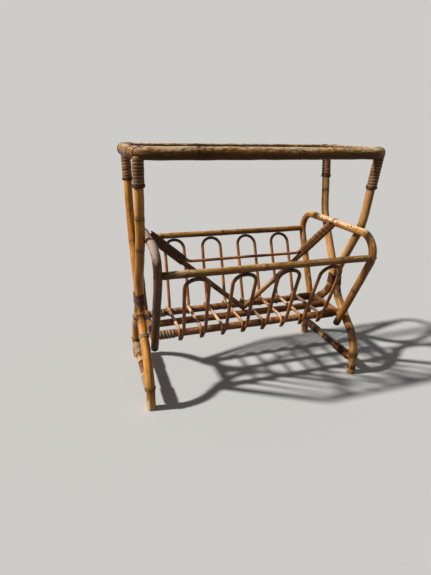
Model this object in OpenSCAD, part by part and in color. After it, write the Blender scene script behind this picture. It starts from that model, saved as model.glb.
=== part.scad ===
// Magazine rack of bent rattan: four bent legs carry an open top ring, and a basket of
// poles and cane hangs between them, with a divider along its middle.
// The origin is on the floor under the middle of the rack. +X runs along its length.

/* [Legs] */
// Distance from the left to the right pair of legs, centre to centre
frame_len = 491; // [440:1:560]
// Distance from a front foot to a back foot, centre to centre
foot_spread = 227; // [205:1:245]
// Distance from a front to a back leg under the ring, centre to centre
top_spread = 193; // [175:1:215]
// Distance from a front to a back leg at the upper bend, centre to centre
shoulder_spread = 152; // [138:1:166]
// Height of the legs, from the floor to the underside of the ring
leg_h = 500; // [475:1:540]
// Height of the corner between the upright foot and the run in to the waist
knee_h = 84; // [78:1:92]
// Height of the corner between the runs below and above the waist
waist_h = 198; // [190:1:208]
// Height of the corner between the run out of the waist and the top run
shoulder_h = 357; // [345:1:370]
// Diameter of a leg at the floor
leg_foot_d = 20; // [18:0.1:21.5]
// Diameter of a leg at the ring
leg_top_d = 17.6; // [16:0.1:19]
// Bend radius above the foot
foot_bend_r = 98; // [80:1:110]
// Bend radius at the waist
waist_bend_r = 82; // [60:1:90]
// Bend radius at the shoulder
shoulder_bend_r = 140; // [80:1:200]

/* [Top ring] */
// Diameter of the ring's pole
ring_d = 22; // [20:0.1:27]
// Bend radius of the ring's corners, to the middle of the pole
ring_bend_r = 32; // [27:1:55]

/* [Stretchers] */
// Diameter of the stretchers between the feet
stretcher_d = 17; // [13:0.1:18]
// Height of the stretchers' middle
stretcher_h = 38; // [30:1:42]

/* [End hoops] */
// Diameter of the hoops' poles
hoop_d = 16.6; // [14:0.1:19]
// Height of the middle of the hoop's top
hoop_top_h = 350; // [338:1:368]
// Greatest width of a hoop, between the middles of its arms
hoop_w = 294; // [275:1:310]
// Distance between the lower ends of a hoop's arms
hoop_foot_w = 118; // [100:1:128]
// Height of the lower ends of the arms
hoop_foot_h = 111; // [104:1:120]
// Bend radius of the hoop's shoulders
hoop_bend_r = 42; // [32:1:55]

/* [Rails] */
// Diameter of the basket's top rails
top_rail_d = 14.4; // [12:0.1:16]
// Height of the top rails
top_rail_h = 305; // [295:1:315]
// Diameter of the three floor rails
floor_rail_d = 16.5; // [14:0.1:18]
// Height of the floor rails
floor_rail_h = 140; // [134:1:146]
// Distance from one floor rail to the next
floor_rail_pitch = 56; // [50:1:58]
// Diameter of the cross rails at the ends of the floor
cross_rail_d = 16; // [14:0.1:18]

/* [Cane arches and floor bars] */
// Diameter of the cane
cane_d = 7.5; // [6:0.1:8.5]
// Distance from one hooked bar to the next, and width of an arch
bar_pitch = 48; // [44:1:50]
// How far a hook reaches round its rail below the level of the rail's middle, in degrees
hook_angle = 20; // [10:1:30]
// Straight length past the rail, on hooks and arches
tip_len = 10; // [6:1:14]
// Share of the cane's diameter that is left at a shaved tip
tip_share = 0.6; // [0.5:0.05:0.6]
// Length of a shaved tip
shave_len = 26; // [18:1:32]
// How far the tops of the front arches stand to the left of their feet
front_arch_slant = 14; // [0:1:18]
// How far the tops of the back arches stand to the right of their feet
back_arch_slant = 6; // [0:1:18]

/* [Divider] */
// Diameter of the two struts
strut_d = 12; // [10:0.1:14]
// Height over the middle of the middle rail at which the struts' middle lines meet
strut_rise = 15; // [13:0.5:24]
// Diameter of the rod between the struts
rod_d = 6.6; // [5:0.1:8]
// How far the level part of the rod lies below the middle of the hoops' tops
rod_drop = 68; // [54:1:82]
// Bend radius of the rod
rod_bend_r = 14; // [10:1:24]
// Distance from the hoop's middle to each end of the rod, along a strut
rod_end = 20; // [16:1:30]
// Bare length of the rod between its bend and the wrapping
rod_bare = 2; // [0:1:12]

/* [Cane wrapping] */
// Width of the flat strand
strand_w = 6.2; // [4.5:0.1:7]
// Thickness of the flat strand
strand_t = 1.4; // [1:0.1:1.8]
// Length of the wrapping below the ring
post_wrap_len = 52; // [36:1:75]
// Height of the binding round both legs at the waist
waist_wrap_len = 30; // [20:1:36]
// How far the middle of that binding lies below the narrowest place
waist_wrap_drop = 8; // [0:1:10]
// Length of the binding on a leg where it crosses the hoop
cross_wrap_len = 13; // [8:1:16]
// Length of the wrapping on each end of a stretcher
stretcher_wrap_len = 62; // [30:1:80]
// Length of the lashing on a foot above the stretcher
foot_wrap_len = 7; // [5:1:9]

/* [Hidden] */
$fn = 48;
gap = 0.3;            // clearance between two pieces that lie against each other
big = 1000;           // longer than any piece
knuckle_rise = 0.5;   // how far a knuckle stands out of its pole
knuckle_half = 3;     // half the length of a knuckle
knuckle_flat = 1;     // half the length of its crest
end_round = 1.2;      // rounding of a pole's cut ends
tie_reach = 3;        // how far a hoop tie reaches below the hoop
cope_share = 0.6;     // how far a coped end reaches along the pole it holds, as a share of its radius
bend_step = 10;       // largest turn between two rings of points on a bent pole, in degrees
leg_step = 8;         // the same, on a leg, whose bends are wide
cane_step = 18;       // the same, on thin cane
pole_sides = 12;      // points in a ring on a bent pole
ring_sides = 14;      // the same, on the top ring
cane_sides = 8;       // the same, on thin cane

// Radius to the corners of a bent pole's facets, whose section keeps the area of a circle
function facet_r(r, sides = pole_sides) = r * sqrt(2 * PI / (sides * sin(360 / sides)));

leg_x = frame_len / 2;
foot_y = foot_spread / 2;
hoop_r = hoop_d / 2;
floor_r = floor_rail_d / 2;
cross_r = cross_rail_d / 2;
cane_r = cane_d / 2;
cane_skin = facet_r(cane_r, cane_sides);
ring_r = ring_d / 2;
ring_z = leg_h + ring_r;

// ---- Bent poles: a path is a list of runs [distance, point, heading, length, turn per mm] ----

function heading(v) = atan2(v[1], v[0]);
function turn_of(a) = a > 180 ? a - 360 : a < -180 ? a + 360 : a;
function corner_turn(c, i) = turn_of(heading(c[i + 1] - c[i]) - heading(c[i] - c[i - 1]));

// Distance from corner i to the start of its bend, which the runs beside it limit
function setback(c, r, i) =
    i == 0 || i == len(c) - 1 ? 0 :
    min(r[i] * tan(abs(corner_turn(c, i)) / 2),
        min(norm(c[i] - c[i - 1]), norm(c[i + 1] - c[i])) / 2);

// Straight and curved runs, as [length, turn per mm], through corners c with bend radii r
function corner_runs(c, r) = [
    for (i = [0:len(c) - 2]) each [
        [norm(c[i + 1] - c[i]) - setback(c, r, i) - setback(c, r, i + 1), 0],
        if (i < len(c) - 2)
            let (t = corner_turn(c, i + 1),
                 arc = setback(c, r, i + 1) / tan(abs(t) / 2) * abs(t) * PI / 180)
            [arc, t / arc]]];

// The point that a run reaches after length l
function along(p, h, l, k) =
    k == 0 ? p + l * [cos(h), sin(h)]
           : p + 180 / (PI * k) * [sin(h + k * l) - sin(h), cos(h) - cos(h + k * l)];

function path_of(start, h0, runs) = [
    for (i = 0, s = 0, p = start, h = h0; i < len(runs);
         p = along(p, h, runs[i][0], runs[i][1]), h = h + runs[i][0] * runs[i][1],
         s = s + runs[i][0], i = i + 1)
        [s, p, h, runs[i][0], runs[i][1]]];

function bent_path(c, r) = path_of(c[0], heading(c[1] - c[0]), corner_runs(c, r));

function last(v) = v[len(v) - 1];
function path_len(path) = last(path)[0] + last(path)[3];
function run_at(path, s, i = 0) = i + 1 < len(path) && path[i + 1][0] <= s ? run_at(path, s, i + 1) : i;
function point_at(path, s) = let (q = path[run_at(path, s)]) along(q[1], q[2], s - q[0], q[4]);
function heading_at(path, s) = let (q = path[run_at(path, s)]) q[2] + (s - q[0]) * q[4];

// Distance along a rising path at which it reaches height z, between distances a and b
function reach_at(path, z, a, b, n = 24) =
    n == 0 ? (a + b) / 2 :
    point_at(path, (a + b) / 2)[1] < z ? reach_at(path, z, (a + b) / 2, b, n - 1)
                                       : reach_at(path, z, a, (a + b) / 2, n - 1);

function sorted(v) =
    len(v) <= 1 ? v :
    let (m = v[0])
    concat(sorted([for (x = v) if (x < m) x]), [m], sorted([for (x = v) if (x > m) x]));

function knuckle(d) = knuckle_rise * min(1, max(0, (knuckle_half - d) / (knuckle_half - knuckle_flat)));

function swelling(s, knuckles) = max([0, for (k = knuckles) knuckle(abs(s - k))]);
function knuckle_marks(k) = [k - knuckle_half, k - knuckle_flat, k + knuckle_flat, k + knuckle_half];

// Radius of a pole at distance s: from r0 to r1, with knuckles, and ends that are rounded or shaved
function pole_radius(s, l, r0, r1, knuckles, shave = 0) =
    let (edge = min(s, l - s),
         r = r0 + (r1 - r0) * s / l + swelling(s, knuckles),
         share = shave == 0 ? 1 : min(1, tip_share + (1 - tip_share) * edge / shave))
    r * share - max(0, end_round - edge);

// Distances along a path at which a ring of points stands
function rings_of(path, step, knuckles, shave) =
    let (l = path_len(path),
         all = sorted(concat(
            [for (q = path) let (n = max(1, ceil(abs(q[4] * q[3]) / step - 0.01)))
                for (j = [0:n - 1]) q[0] + q[3] * j / n],
            [for (k = knuckles) each knuckle_marks(k)],
            shave == 0 ? [end_round, l - end_round] : [end_round, shave, l - shave, l - end_round],
            [0, l])))
    [for (i = [0:len(all) - 1]) if (i == 0 || i == len(all) - 1 ||
        (all[i] - all[i - 1] > knuckle_flat / 2 && l - all[i] > knuckle_flat / 2)) all[i]];

// A bent pole in the XY plane, of round section
module bent_pole(path, r0, r1, knuckles = [], sides = pole_sides, step = bend_step, shave = 0,
                 closed = false) {
    l = path_len(path);
    rings = rings_of(path, step, knuckles, shave);
    n = closed ? len(rings) - 1 : len(rings);
    points = [
        for (i = [0:n - 1])
            let (s = rings[i], p = point_at(path, s), h = heading_at(path, s),
                 r = facet_r(closed ? r0 + swelling(s, knuckles) : pole_radius(s, l, r0, r1, knuckles, shave),
                             sides))
            for (j = [0:sides - 1])
                let (a = 360 * (j + 0.5) / sides)
                [p[0] - r * cos(a) * sin(h), p[1] + r * cos(a) * cos(h), r * sin(a)]];
    skin = [
        for (i = [0:closed ? n - 1 : n - 2]) for (j = [0:sides - 1])
            let (k = (j + 1) % sides, a = i * sides, b = ((i + 1) % n) * sides)
            each [[a + j, b + j, b + k], [a + j, b + k, a + k]]];
    ends = closed ? [] : [[for (j = [0:sides - 1]) j], [for (j = [sides - 1:-1:0]) (n - 1) * sides + j]];
    polyhedron(points, concat(skin, ends), convexity = 6);
}

// A straight pole along +Z from the origin, with knuckles and rounded ends
module straight_pole(l, r, knuckles = []) {
    marks = sorted(concat([0, end_round, l - end_round, l],
        [for (k = knuckles) each knuckle_marks(k)]));
    rotate_extrude()
        polygon(concat([[0, 0]], [for (s = marks) [pole_radius(s, l, r, r, knuckles), s]], [[0, l]]));
}

// The same pole, centred on the origin and lying along X or Y
module pole_x(l, r, knuckles = []) {
    translate([-l / 2, 0, 0]) rotate([0, 90, 0]) straight_pole(l, r, [for (k = knuckles) k + l / 2]);
}

module pole_y(l, r, knuckles = []) {
    translate([0, -l / 2, 0]) rotate([-90, 0, 0]) straight_pole(l, r, [for (k = knuckles) k + l / 2]);
}

// Puts a shape drawn in XY upright across the rack, at x
module across(x) {
    translate([x, 0, 0]) rotate([90, 0, 90]) children();
}

// ---- Cane wrapping ----

// Round sleeve of strand turns on a pole of radius r, along +Z from the origin
module wrap(l, r, last_rise = 0) {
    turns = max(1, round(l / strand_w));
    p = l / turns;
    inner = r + gap;
    outer = inner + strand_t;
    rotate_extrude()
        polygon(concat([[inner, 0]],
            [for (i = [0:turns - 1]) let (rise = i == 0 ? last_rise : 0) each [
                [outer - strand_t * 0.45, i * p], [outer + rise, (i + 0.25) * p],
                [outer + rise, (i + 0.75) * p], [outer - strand_t * 0.45, (i + 1) * p]]],
            [[inner, l]]));
}

// Points on an arc of radius r about [x, 0], from angle a to b, whose chords clear the circle
function arc(x, r, a, b, n = 8) =
    [for (i = [0:n]) let (t = a + (b - a) * i / n) [x, 0] + r / cos((b - a) / n / 2) * [cos(t), sin(t)]];

// Outline of a belt round two circles, of radius ra at the origin and rb at [d, 0]
function belt(ra, rb, d) =
    let (a = acos((ra - rb) / d))
    concat(arc(d, rb, -a, a), arc(0, ra, a, 360 - a));

// Turns of strand round two poles side by side, on a thinner sleeve, along +Z from the origin
module belt_wrap(l, ra, rb, d) {
    turns = max(1, round(l / strand_w));
    p = l / turns;
    for (i = [0:turns])
        translate([0, 0, i == turns ? 0 : (i + 0.12) * p])
            linear_extrude(i == turns ? l : 0.76 * p)
                belt_ring(ra, rb, d, i == turns ? strand_t / 2 : strand_t);
}

module belt_ring(ra, rb, d, t) {
    hole = belt(ra + gap, rb + gap, d);
    rim = belt(ra + gap + t, rb + gap + t, d);
    n = len(rim);
    polygon(concat(rim, hole), [[for (j = [0:n - 1]) j], [for (j = [0:n - 1]) n + j]]);
}

// Strap over a pole of radius r, whose ends stand beside a post of radius post_r that comes
// from -Y, and stop at distance seat below the pole's middle
module strap(r, post_r, seat) {
    inner = r + gap;
    foot = post_r + gap;
    translate([0, 0, -strand_w / 2]) linear_extrude(strand_w) difference() {
        union() {
            circle(inner + strand_t);
            translate([-foot - strand_t, -seat]) square([2 * (foot + strand_t), seat]);
        }
        circle(inner);
        translate([-foot, -big]) square([2 * foot, big]);
    }
}

// ---- Places that several pieces share ----

// The waist corner stands so far beyond the middle that the bends of both legs just clear
function bend_centre_y(w) =
    let (c = [[foot_y, knee_h], [w, waist_h], [shoulder_spread / 2, shoulder_h]],
         a = (c[0] - c[1]) / norm(c[0] - c[1]),
         b = (c[2] - c[1]) / norm(c[2] - c[1]),
         n = (a + b) / norm(a + b))
    w + n[0] * waist_bend_r / cos(corner_turn(c, 1) / 2);
function waist_corner(w = 0, n = 8) =
    n == 0 ? w : waist_corner(w + waist_y + waist_bend_r - bend_centre_y(w), n - 1);

waist_r = (leg_foot_d + leg_top_d) / 4;
waist_y = waist_r + gap / 2;
leg_corners = [[foot_y, 0], [foot_y, knee_h], [waist_corner(), waist_h],
               [shoulder_spread / 2, shoulder_h], [top_spread / 2, leg_h]];
leg_radii = [0, foot_bend_r, waist_bend_r, shoulder_bend_r, 0];
leg_path = bent_path(leg_corners, leg_radii);
leg_len = path_len(leg_path);
leg_lean = 90 - heading_at(leg_path, leg_len);
waist_s = leg_path[3][0] + (90 - leg_path[3][2]) / leg_path[3][4];
waist_z = point_at(leg_path, waist_s)[1];
function leg_r(s) = facet_r(leg_foot_d + (leg_top_d - leg_foot_d) * s / leg_len) / 2;
ring_skin = facet_r(ring_r, ring_sides);
hoop_skin = facet_r(hoop_r);
foot_skin = leg_r(0);

// The hoops pass the legs twice: low down beside the corner bindings, and again under their
// own tops, where they lean out against the legs
cross_s = reach_at(leg_path, floor_rail_h, 0, waist_s);
hoop_x = leg_x - leg_r(cross_s) - strand_t - hoop_skin - 2 * gap;
hoop_top_x = leg_x - leg_r(reach_at(leg_path, hoop_top_h, waist_s, leg_len)) - hoop_skin - gap;
hoop_lean = atan2(hoop_top_x - hoop_x, hoop_top_h - floor_rail_h);
top_rail_x = hoop_x + tan(hoop_lean) * (top_rail_h - floor_rail_h);

// A hoop's arm runs from its lower end and just touches the circle of the shoulder bend
hoop_bend_y = hoop_w / 2 - hoop_bend_r;
hoop_bend_z = hoop_top_h - hoop_bend_r;
arm_reach = [hoop_bend_y - hoop_foot_w / 2, hoop_bend_z - hoop_foot_h];
arm_lean = atan2(arm_reach[0], arm_reach[1]) + asin(hoop_bend_r / norm(arm_reach));
hoop_corner_y = hoop_foot_w / 2 + tan(arm_lean) * (hoop_top_h - hoop_foot_h);
hoop_path = bent_path(
    [[hoop_foot_w / 2, hoop_foot_h], [hoop_corner_y, hoop_top_h],
     [-hoop_corner_y, hoop_top_h], [-hoop_foot_w / 2, hoop_foot_h]],
    [0, hoop_bend_r, hoop_bend_r, 0]);
hoop_shoulder_s = hoop_path[1][0] + hoop_path[1][3];
arm_y = point_at(hoop_path, reach_at(hoop_path, floor_rail_h, 0, hoop_shoulder_s))[0];
top_rail_y = point_at(hoop_path, reach_at(hoop_path, top_rail_h, 0, hoop_shoulder_s))[0];

rail_len = 2 * (hoop_x - cope_share * cross_r);
top_rail_len = 2 * (top_rail_x - cope_share * hoop_r);
floor_rail_y = floor_rail_pitch;
wind_r = floor_r + gap + cane_r;     // from a floor rail's middle to the cane bent round it

// An arch leans from its top under the top rail to the outer side of the floor rail
arch_top = [top_rail_y, top_rail_h - top_rail_d / 2 - gap - cane_skin];
arch_reach = [arch_top[0] - floor_rail_y, arch_top[1] - floor_rail_h];
arch_lean = atan2(arch_reach[0], arch_reach[1]) - asin(wind_r / norm(arch_reach));
arch_len = sqrt(norm(arch_reach) ^ 2 - wind_r ^ 2) + tip_len;
arch_tip = arch_top - arch_len * [sin(arch_lean), cos(arch_lean)];

// A strut runs from the hoop's top towards a point just above the middle floor rail
strut_aim_h = floor_rail_h + strut_rise;
strut_fall = hoop_top_h - strut_aim_h;
strut_angle = atan2(strut_fall, hoop_top_x);
strut_len = norm([hoop_top_x, strut_fall]);
strut_r = strut_d / 2;
rod_r = rod_d / 2;
rod_h = hoop_top_h - rod_drop;
rod_offset = strut_r + gap + rod_r;  // from the strut's middle to the rod beside it
rod_corner_x = (rod_h - strut_aim_h) / tan(strut_angle) - rod_offset / sin(strut_angle);
rod_corner_s = (hoop_top_x - rod_corner_x) * cos(strut_angle) + (hoop_top_h - rod_h) * sin(strut_angle);
strut_seat = hoop_skin + gap + strand_t + tie_reach;
strut_wrap_len = rod_corner_s - rod_bend_r * tan(strut_angle / 2) - rod_bare - strut_seat;

hook_x = (cane_d + gap) / 2;         // half the distance from a bar's hook to the arch's leg beside it
tip_lean = cane_d * (1 - tip_share); // how far that leg leans over, so that the shaved tips lie together
outer_bar_x = 3.5 * bar_pitch;
rail_wrap_from = outer_bar_x + hook_x + cane_r + gap;
rail_wrap_to = hoop_x - max(hoop_skin, cross_r) - 2 * gap;

// ---- Top ring and legs ----

// The legs stand under the middle of the ring's corner bends
ring_in = ring_bend_r * (1 - cos(45));
ring_hx = leg_x + ring_in;
ring_hy = top_spread / 2 + ring_in;

module top_ring() {
    side = 2 * (ring_hx - ring_bend_r);
    end = 2 * (ring_hy - ring_bend_r);
    arc = ring_bend_r * PI / 2;
    runs = [for (l = [side, end, side, end]) each [[l, 0], [arc, 90 / arc]]];
    path = path_of([-side / 2, -ring_hy], 0, runs);
    back = side + end + 2 * arc;
    knuckles = [side * 0.17, side * 0.63, back + side * 0.25, back + side * 0.7];
    color("#a98760") translate([0, 0, ring_z])
        bent_pole(path, ring_r, ring_r, knuckles, ring_sides, closed = true);
}

// Hollow that the ring lies in, at the leg at the back right
module ring_seat() {
    translate([leg_x + ring_in - ring_bend_r, ring_hy - ring_bend_r, ring_z])
        rotate_extrude() translate([ring_bend_r, 0]) circle(ring_skin + gap);
}

// The leg at the back right, with knuckles at the given shares of its length
module leg(shares) {
    knuckles = leg_len * shares;
    cope = ring_r * cope_share;
    path = bent_path([for (i = [0:4]) i < 4 ? leg_corners[i]
                         : leg_corners[4] + cope * [tan(leg_lean), 1]], leg_radii);
    color("#d08f3e") difference() {
        across(leg_x) bent_pole(path, leg_foot_d / 2, leg_top_d / 2, knuckles, step = leg_step);
        ring_seat();
    }
}

// Moves a piece from the back right corner to another corner
module corner(right, back) {
    mirror([right ? 0 : 1, 0, 0]) mirror([0, back ? 0 : 1, 0]) children();
}

module leg_front_left() { corner(false, false) leg([0.04, 0.37, 0.69]); }
module leg_front_right() { corner(true, false) leg([0.03, 0.36, 0.745]); }
module leg_back_left() { corner(false, true) leg([0.035, 0.365, 0.66]); }
module leg_back_right() { corner(true, true) leg([0.04, 0.37, 0.67]); }

module stretcher(x) {
    half = foot_y - cope_share * foot_skin;
    color("#b97833") difference() {
        translate([x, 0, stretcher_h]) pole_y(2 * half, stretcher_d / 2, [0]);
        for (y = [-foot_y, foot_y]) translate([x, y, 0]) cylinder(r = foot_skin + gap, h = 2 * stretcher_h);
    }
}

module stretcher_left() { stretcher(-leg_x); }
module stretcher_right() { stretcher(leg_x); }

// ---- Basket ----

// Leans a piece drawn across the middle of the rack out to the left or the right, as the hoops lean
module at_hoop(side) {
    translate([side * hoop_x, 0, floor_rail_h]) rotate([0, side * hoop_lean, 0])
        translate([0, 0, -floor_rail_h]) children();
}

module end_hoop(side, kx) {
    l = path_len(hoop_path);
    knuckles = [for (s = [0.13, 0.3, 0.42, 0.64, 0.84]) s * l + kx];
    color("#c8905a") at_hoop(side) across(0) bent_pole(hoop_path, hoop_r, hoop_r, knuckles);
}

module end_hoop_left() { end_hoop(-1, 0); }
module end_hoop_right() { end_hoop(1, 10); }

// Hollow round a hoop's back arm and shoulder, for the rails that end on it
module hoop_seat(side) {
    at_hoop(side) {
        translate([0, arm_y, floor_rail_h]) rotate([-arm_lean, 0, 0])
            cylinder(r = hoop_skin + gap, h = 4 * hoop_bend_r, center = true);
        translate([0, hoop_bend_y, hoop_bend_z]) rotate([0, 90, 0])
            rotate_extrude() translate([hoop_bend_r, 0]) circle(hoop_skin + gap);
    }
}

module top_rail(back, knuckles) {
    color("#c98a45") corner(true, back) difference() {
        translate([0, top_rail_y, top_rail_h])
            pole_x(top_rail_len, top_rail_d / 2, [for (k = knuckles) k * bar_pitch]);
        for (side = [-1, 1]) hoop_seat(side);
    }
}

module top_rail_front() { top_rail(false, [-3.7, -0.45, 3.1]); }
module top_rail_back() { top_rail(true, [-3.5, -0.2, 1.95]); }

module floor_rail(y, knuckles) {
    color("#a8662c") difference() {
        translate([0, y, floor_rail_h]) pole_x(rail_len, floor_r, [for (k = knuckles) k * bar_pitch]);
        for (side = [-1, 1]) {
            translate([side * hoop_x, 0, floor_rail_h]) rotate([90, 0, 0])
                cylinder(r = cross_r + gap, h = 3 * floor_rail_pitch, center = true);
            hoop_seat(side);
            mirror([0, 1, 0]) hoop_seat(side);
        }
    }
}

module floor_rail_front() { floor_rail(-floor_rail_y, [-2, 1]); }
module floor_rail_middle() { floor_rail(0, [-3, 2]); }
module floor_rail_back() { floor_rail(floor_rail_y, [-1, 3]); }

module cross_rail(side) {
    half = arm_y - cope_share * hoop_r;
    color("#a96b30") difference() {
        translate([side * hoop_x, 0, floor_rail_h]) pole_y(2 * half, cross_r, [0.3 * half]);
        hoop_seat(side);
        mirror([0, 1, 0]) hoop_seat(side);
    }
}

module cross_rail_left() { cross_rail(-1); }
module cross_rail_right() { cross_rail(1); }

// Arch number i, counted from the left: two legs and a round top, in one plane that leans out
module arch(i, back) {
    w = bar_pitch / 2;
    x = (2 * i - 5) * bar_pitch + hook_x;
    top = back ? back_arch_slant : -front_arch_slant;
    path = bent_path(
        [[-w - tip_lean, 0], [-w, shave_len], [top - w, arch_len],
         [top + w, arch_len], [w, shave_len], [w - tip_lean, 0]],
        [0, shave_len, w, w, shave_len, 0]);
    color("#8f552b") corner(true, back)
        translate([x, arch_tip[0], arch_tip[1]]) rotate([90 - arch_lean, 0, 0])
            bent_pole(path, cane_r, cane_r, [], cane_sides, cane_step, shave_len);
}

module arch_front_1() { arch(1, false); }
module arch_front_2() { arch(2, false); }
module arch_front_3() { arch(3, false); }
module arch_front_4() { arch(4, false); }
module arch_back_1() { arch(1, true); }
module arch_back_2() { arch(2, true); }
module arch_back_3() { arch(3, true); }
module arch_back_4() { arch(4, true); }

// Floor bar number i, counted from the left: hooked round both outer floor rails
module floor_bar(i) {
    x = (i - 4.5) * bar_pitch - hook_x;
    a = hook_angle;
    arc = wind_r * (90 + a) * PI / 180;
    start = [-floor_rail_y, floor_rail_h] - wind_r * [cos(a), sin(a)] + tip_len * [sin(a), -cos(a)];
    path = path_of(start, 90 + a, [[tip_len, 0], [arc, -(90 + a) / arc], [2 * floor_rail_y, 0],
                                   [arc, -(90 + a) / arc], [tip_len, 0]]);
    color("#a9713d") across(x)
        bent_pole(path, cane_r, cane_r, [], cane_sides, cane_step, shave_len);
}

module floor_bar_1() { floor_bar(1); }
module floor_bar_2() { floor_bar(2); }
module floor_bar_3() { floor_bar(3); }
module floor_bar_4() { floor_bar(4); }
module floor_bar_5() { floor_bar(5); }
module floor_bar_6() { floor_bar(6); }
module floor_bar_7() { floor_bar(7); }
module floor_bar_8() { floor_bar(8); }

// ---- Divider ----

// Moves a piece on the right strut, drawn from the hoop's middle along -X, to its place
module on_strut(right) {
    mirror([right ? 0 : 1, 0, 0])
        translate([hoop_top_x, 0, hoop_top_h]) rotate([0, -strut_angle, 0]) children();
}

// A strut is coped under the hoop and over the middle rail, and mitred where both meet
module divider_strut(right) {
    color("#b9803f") difference() {
        on_strut(right) rotate([0, -90, 0])
            translate([0, 0, hoop_r * cope_share])
                straight_pole(strut_len, strut_r, [0.62 * strut_len]);
        translate([0, 0, hoop_top_h]) rotate([90, 0, 0]) for (x = [-hoop_top_x, hoop_top_x])
            translate([x, 0, 0]) cylinder(r = hoop_skin + gap, h = 4 * hoop_r, center = true);
        translate([0, 0, floor_rail_h]) rotate([0, 90, 0])
            cylinder(r = floor_r + gap, h = hoop_x, center = true);
        translate([right ? gap / 2 - big : -gap / 2, -big / 2, 0]) cube(big);
    }
}

module divider_strut_left() { divider_strut(false); }
module divider_strut_right() { divider_strut(true); }

module divider_rod() {
    end = [rod_corner_x, rod_h] + (rod_corner_s - rod_end) * [cos(strut_angle), sin(strut_angle)];
    path = bent_path([[-end[0], end[1]], [-rod_corner_x, rod_h], [rod_corner_x, rod_h], end],
                     [0, rod_bend_r, rod_bend_r, 0]);
    color("#7d4d2a") rotate([90, 0, 0])
        bent_pole(path, rod_r, rod_r, [], cane_sides, cane_step);
}

// ---- Cane wrapping, straps and bindings ----

// A wrap of length l and inner radius r on the leg at the back right, from distance s up along it
module leg_wrap(s, l, r, last_rise = 0) {
    middle = s + l / 2;
    p = point_at(leg_path, middle);
    translate([leg_x, p[0], p[1]]) rotate([heading_at(leg_path, middle) - 90, 0, 0])
        translate([0, 0, -l / 2]) wrap(l, r, last_rise);
}

post_wrap_top = leg_len - (leg_r(leg_len) + gap + strand_t) * tan(leg_lean) - 2 * gap;

module post_wrap(right, back) {
    s = post_wrap_top - post_wrap_len;
    color("#a48a6c") corner(right, back) leg_wrap(s, post_wrap_len, leg_r(s), strand_t / 2);
}

module post_wrap_front_left() { post_wrap(false, false); }
module post_wrap_front_right() { post_wrap(true, false); }
module post_wrap_back_left() { post_wrap(false, true); }
module post_wrap_back_right() { post_wrap(true, true); }

// The strap is straight across its width, so it stands off the ring's bend a little at its edges
module ring_strap(right, back) {
    bulge = (strand_w / 2) ^ 2 / (2 * (ring_bend_r - ring_skin));
    color("#a58462") corner(right, back)
        translate([leg_x, top_spread / 2, ring_z]) rotate([90, 0, 45])
            strap(ring_skin + bulge, leg_r(leg_len) + gap, ring_skin + gap);
}

module ring_strap_front_left() { ring_strap(false, false); }
module ring_strap_front_right() { ring_strap(true, false); }
module ring_strap_back_left() { ring_strap(false, true); }
module ring_strap_back_right() { ring_strap(true, true); }

// Its lower end is the wide one: the legs lean there, which widens their level sections
module waist_binding(x) {
    r = leg_r(waist_s);
    low = waist_wrap_len / 2 + waist_wrap_drop;
    lean = asin(low / waist_bend_r);
    y = waist_y + waist_bend_r * (1 - cos(lean)) + r * (1 / cos(lean) - 1);
    color("#5d4636") translate([x, -y, waist_z - low]) rotate([0, 0, 90])
        belt_wrap(waist_wrap_len, r, r, 2 * y);
}

module waist_binding_left() { waist_binding(-leg_x); }
module waist_binding_right() { waist_binding(leg_x); }

module corner_binding(right, back) {
    s = cross_s - cross_wrap_len / 2;
    color("#8b7358") corner(right, back) leg_wrap(s, cross_wrap_len, leg_r(cross_s));
}

module corner_binding_front_left() { corner_binding(false, false); }
module corner_binding_front_right() { corner_binding(true, false); }
module corner_binding_back_left() { corner_binding(false, true); }
module corner_binding_back_right() { corner_binding(true, true); }

// Wrapping on both ends of a stretcher, and a lashing on each foot above it, whose inner side
// dips where the leg begins to bend
module stretcher_wrap(right) {
    from = foot_y - foot_skin - 2 * gap - stretcher_wrap_len;
    wrap_top = stretcher_h + stretcher_d / 2 + strand_t;
    lash_lean = heading_at(leg_path, wrap_top + foot_wrap_len) - 90;
    lash_s = wrap_top + 2 * gap + (foot_skin + strand_t) * tan(lash_lean);
    color("#93664a") for (back = [false, true]) corner(right, back) {
        translate([leg_x, from, stretcher_h]) rotate([-90, 0, 0])
            wrap(stretcher_wrap_len, stretcher_d / 2);
        leg_wrap(lash_s, foot_wrap_len, foot_skin);
    }
}

module stretcher_wrap_left() { stretcher_wrap(false); }
module stretcher_wrap_right() { stretcher_wrap(true); }

// Wrapping on both ends of a floor rail, between its last hook and the hoop
module rail_wrap(back) {
    color("#b7a284") for (right = [false, true]) corner(right, back)
        translate([rail_wrap_from, floor_rail_y, floor_rail_h]) rotate([0, 90, 0])
            wrap(rail_wrap_to - rail_wrap_from, floor_r);
}

module rail_wrap_front() { rail_wrap(false); }
module rail_wrap_back() { rail_wrap(true); }

// Turns round a strut and the end of the rod that lies on it
module strut_wrap(right) {
    color("#6e4a33") on_strut(right) translate([-strut_seat, 0, 0]) rotate([0, -90, 0])
        belt_wrap(strut_wrap_len, strut_r, facet_r(rod_r, cane_sides), rod_offset);
}

module strut_wrap_left() { strut_wrap(false); }
module strut_wrap_right() { strut_wrap(true); }

module hoop_tie(right) {
    color("#6b4c36") on_strut(right) rotate([90, 0, 0]) rotate([0, 0, -90])
        strap(hoop_skin, strut_r, strut_seat - gap);
}

module hoop_tie_left() { hoop_tie(false); }
module hoop_tie_right() { hoop_tie(true); }

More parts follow.
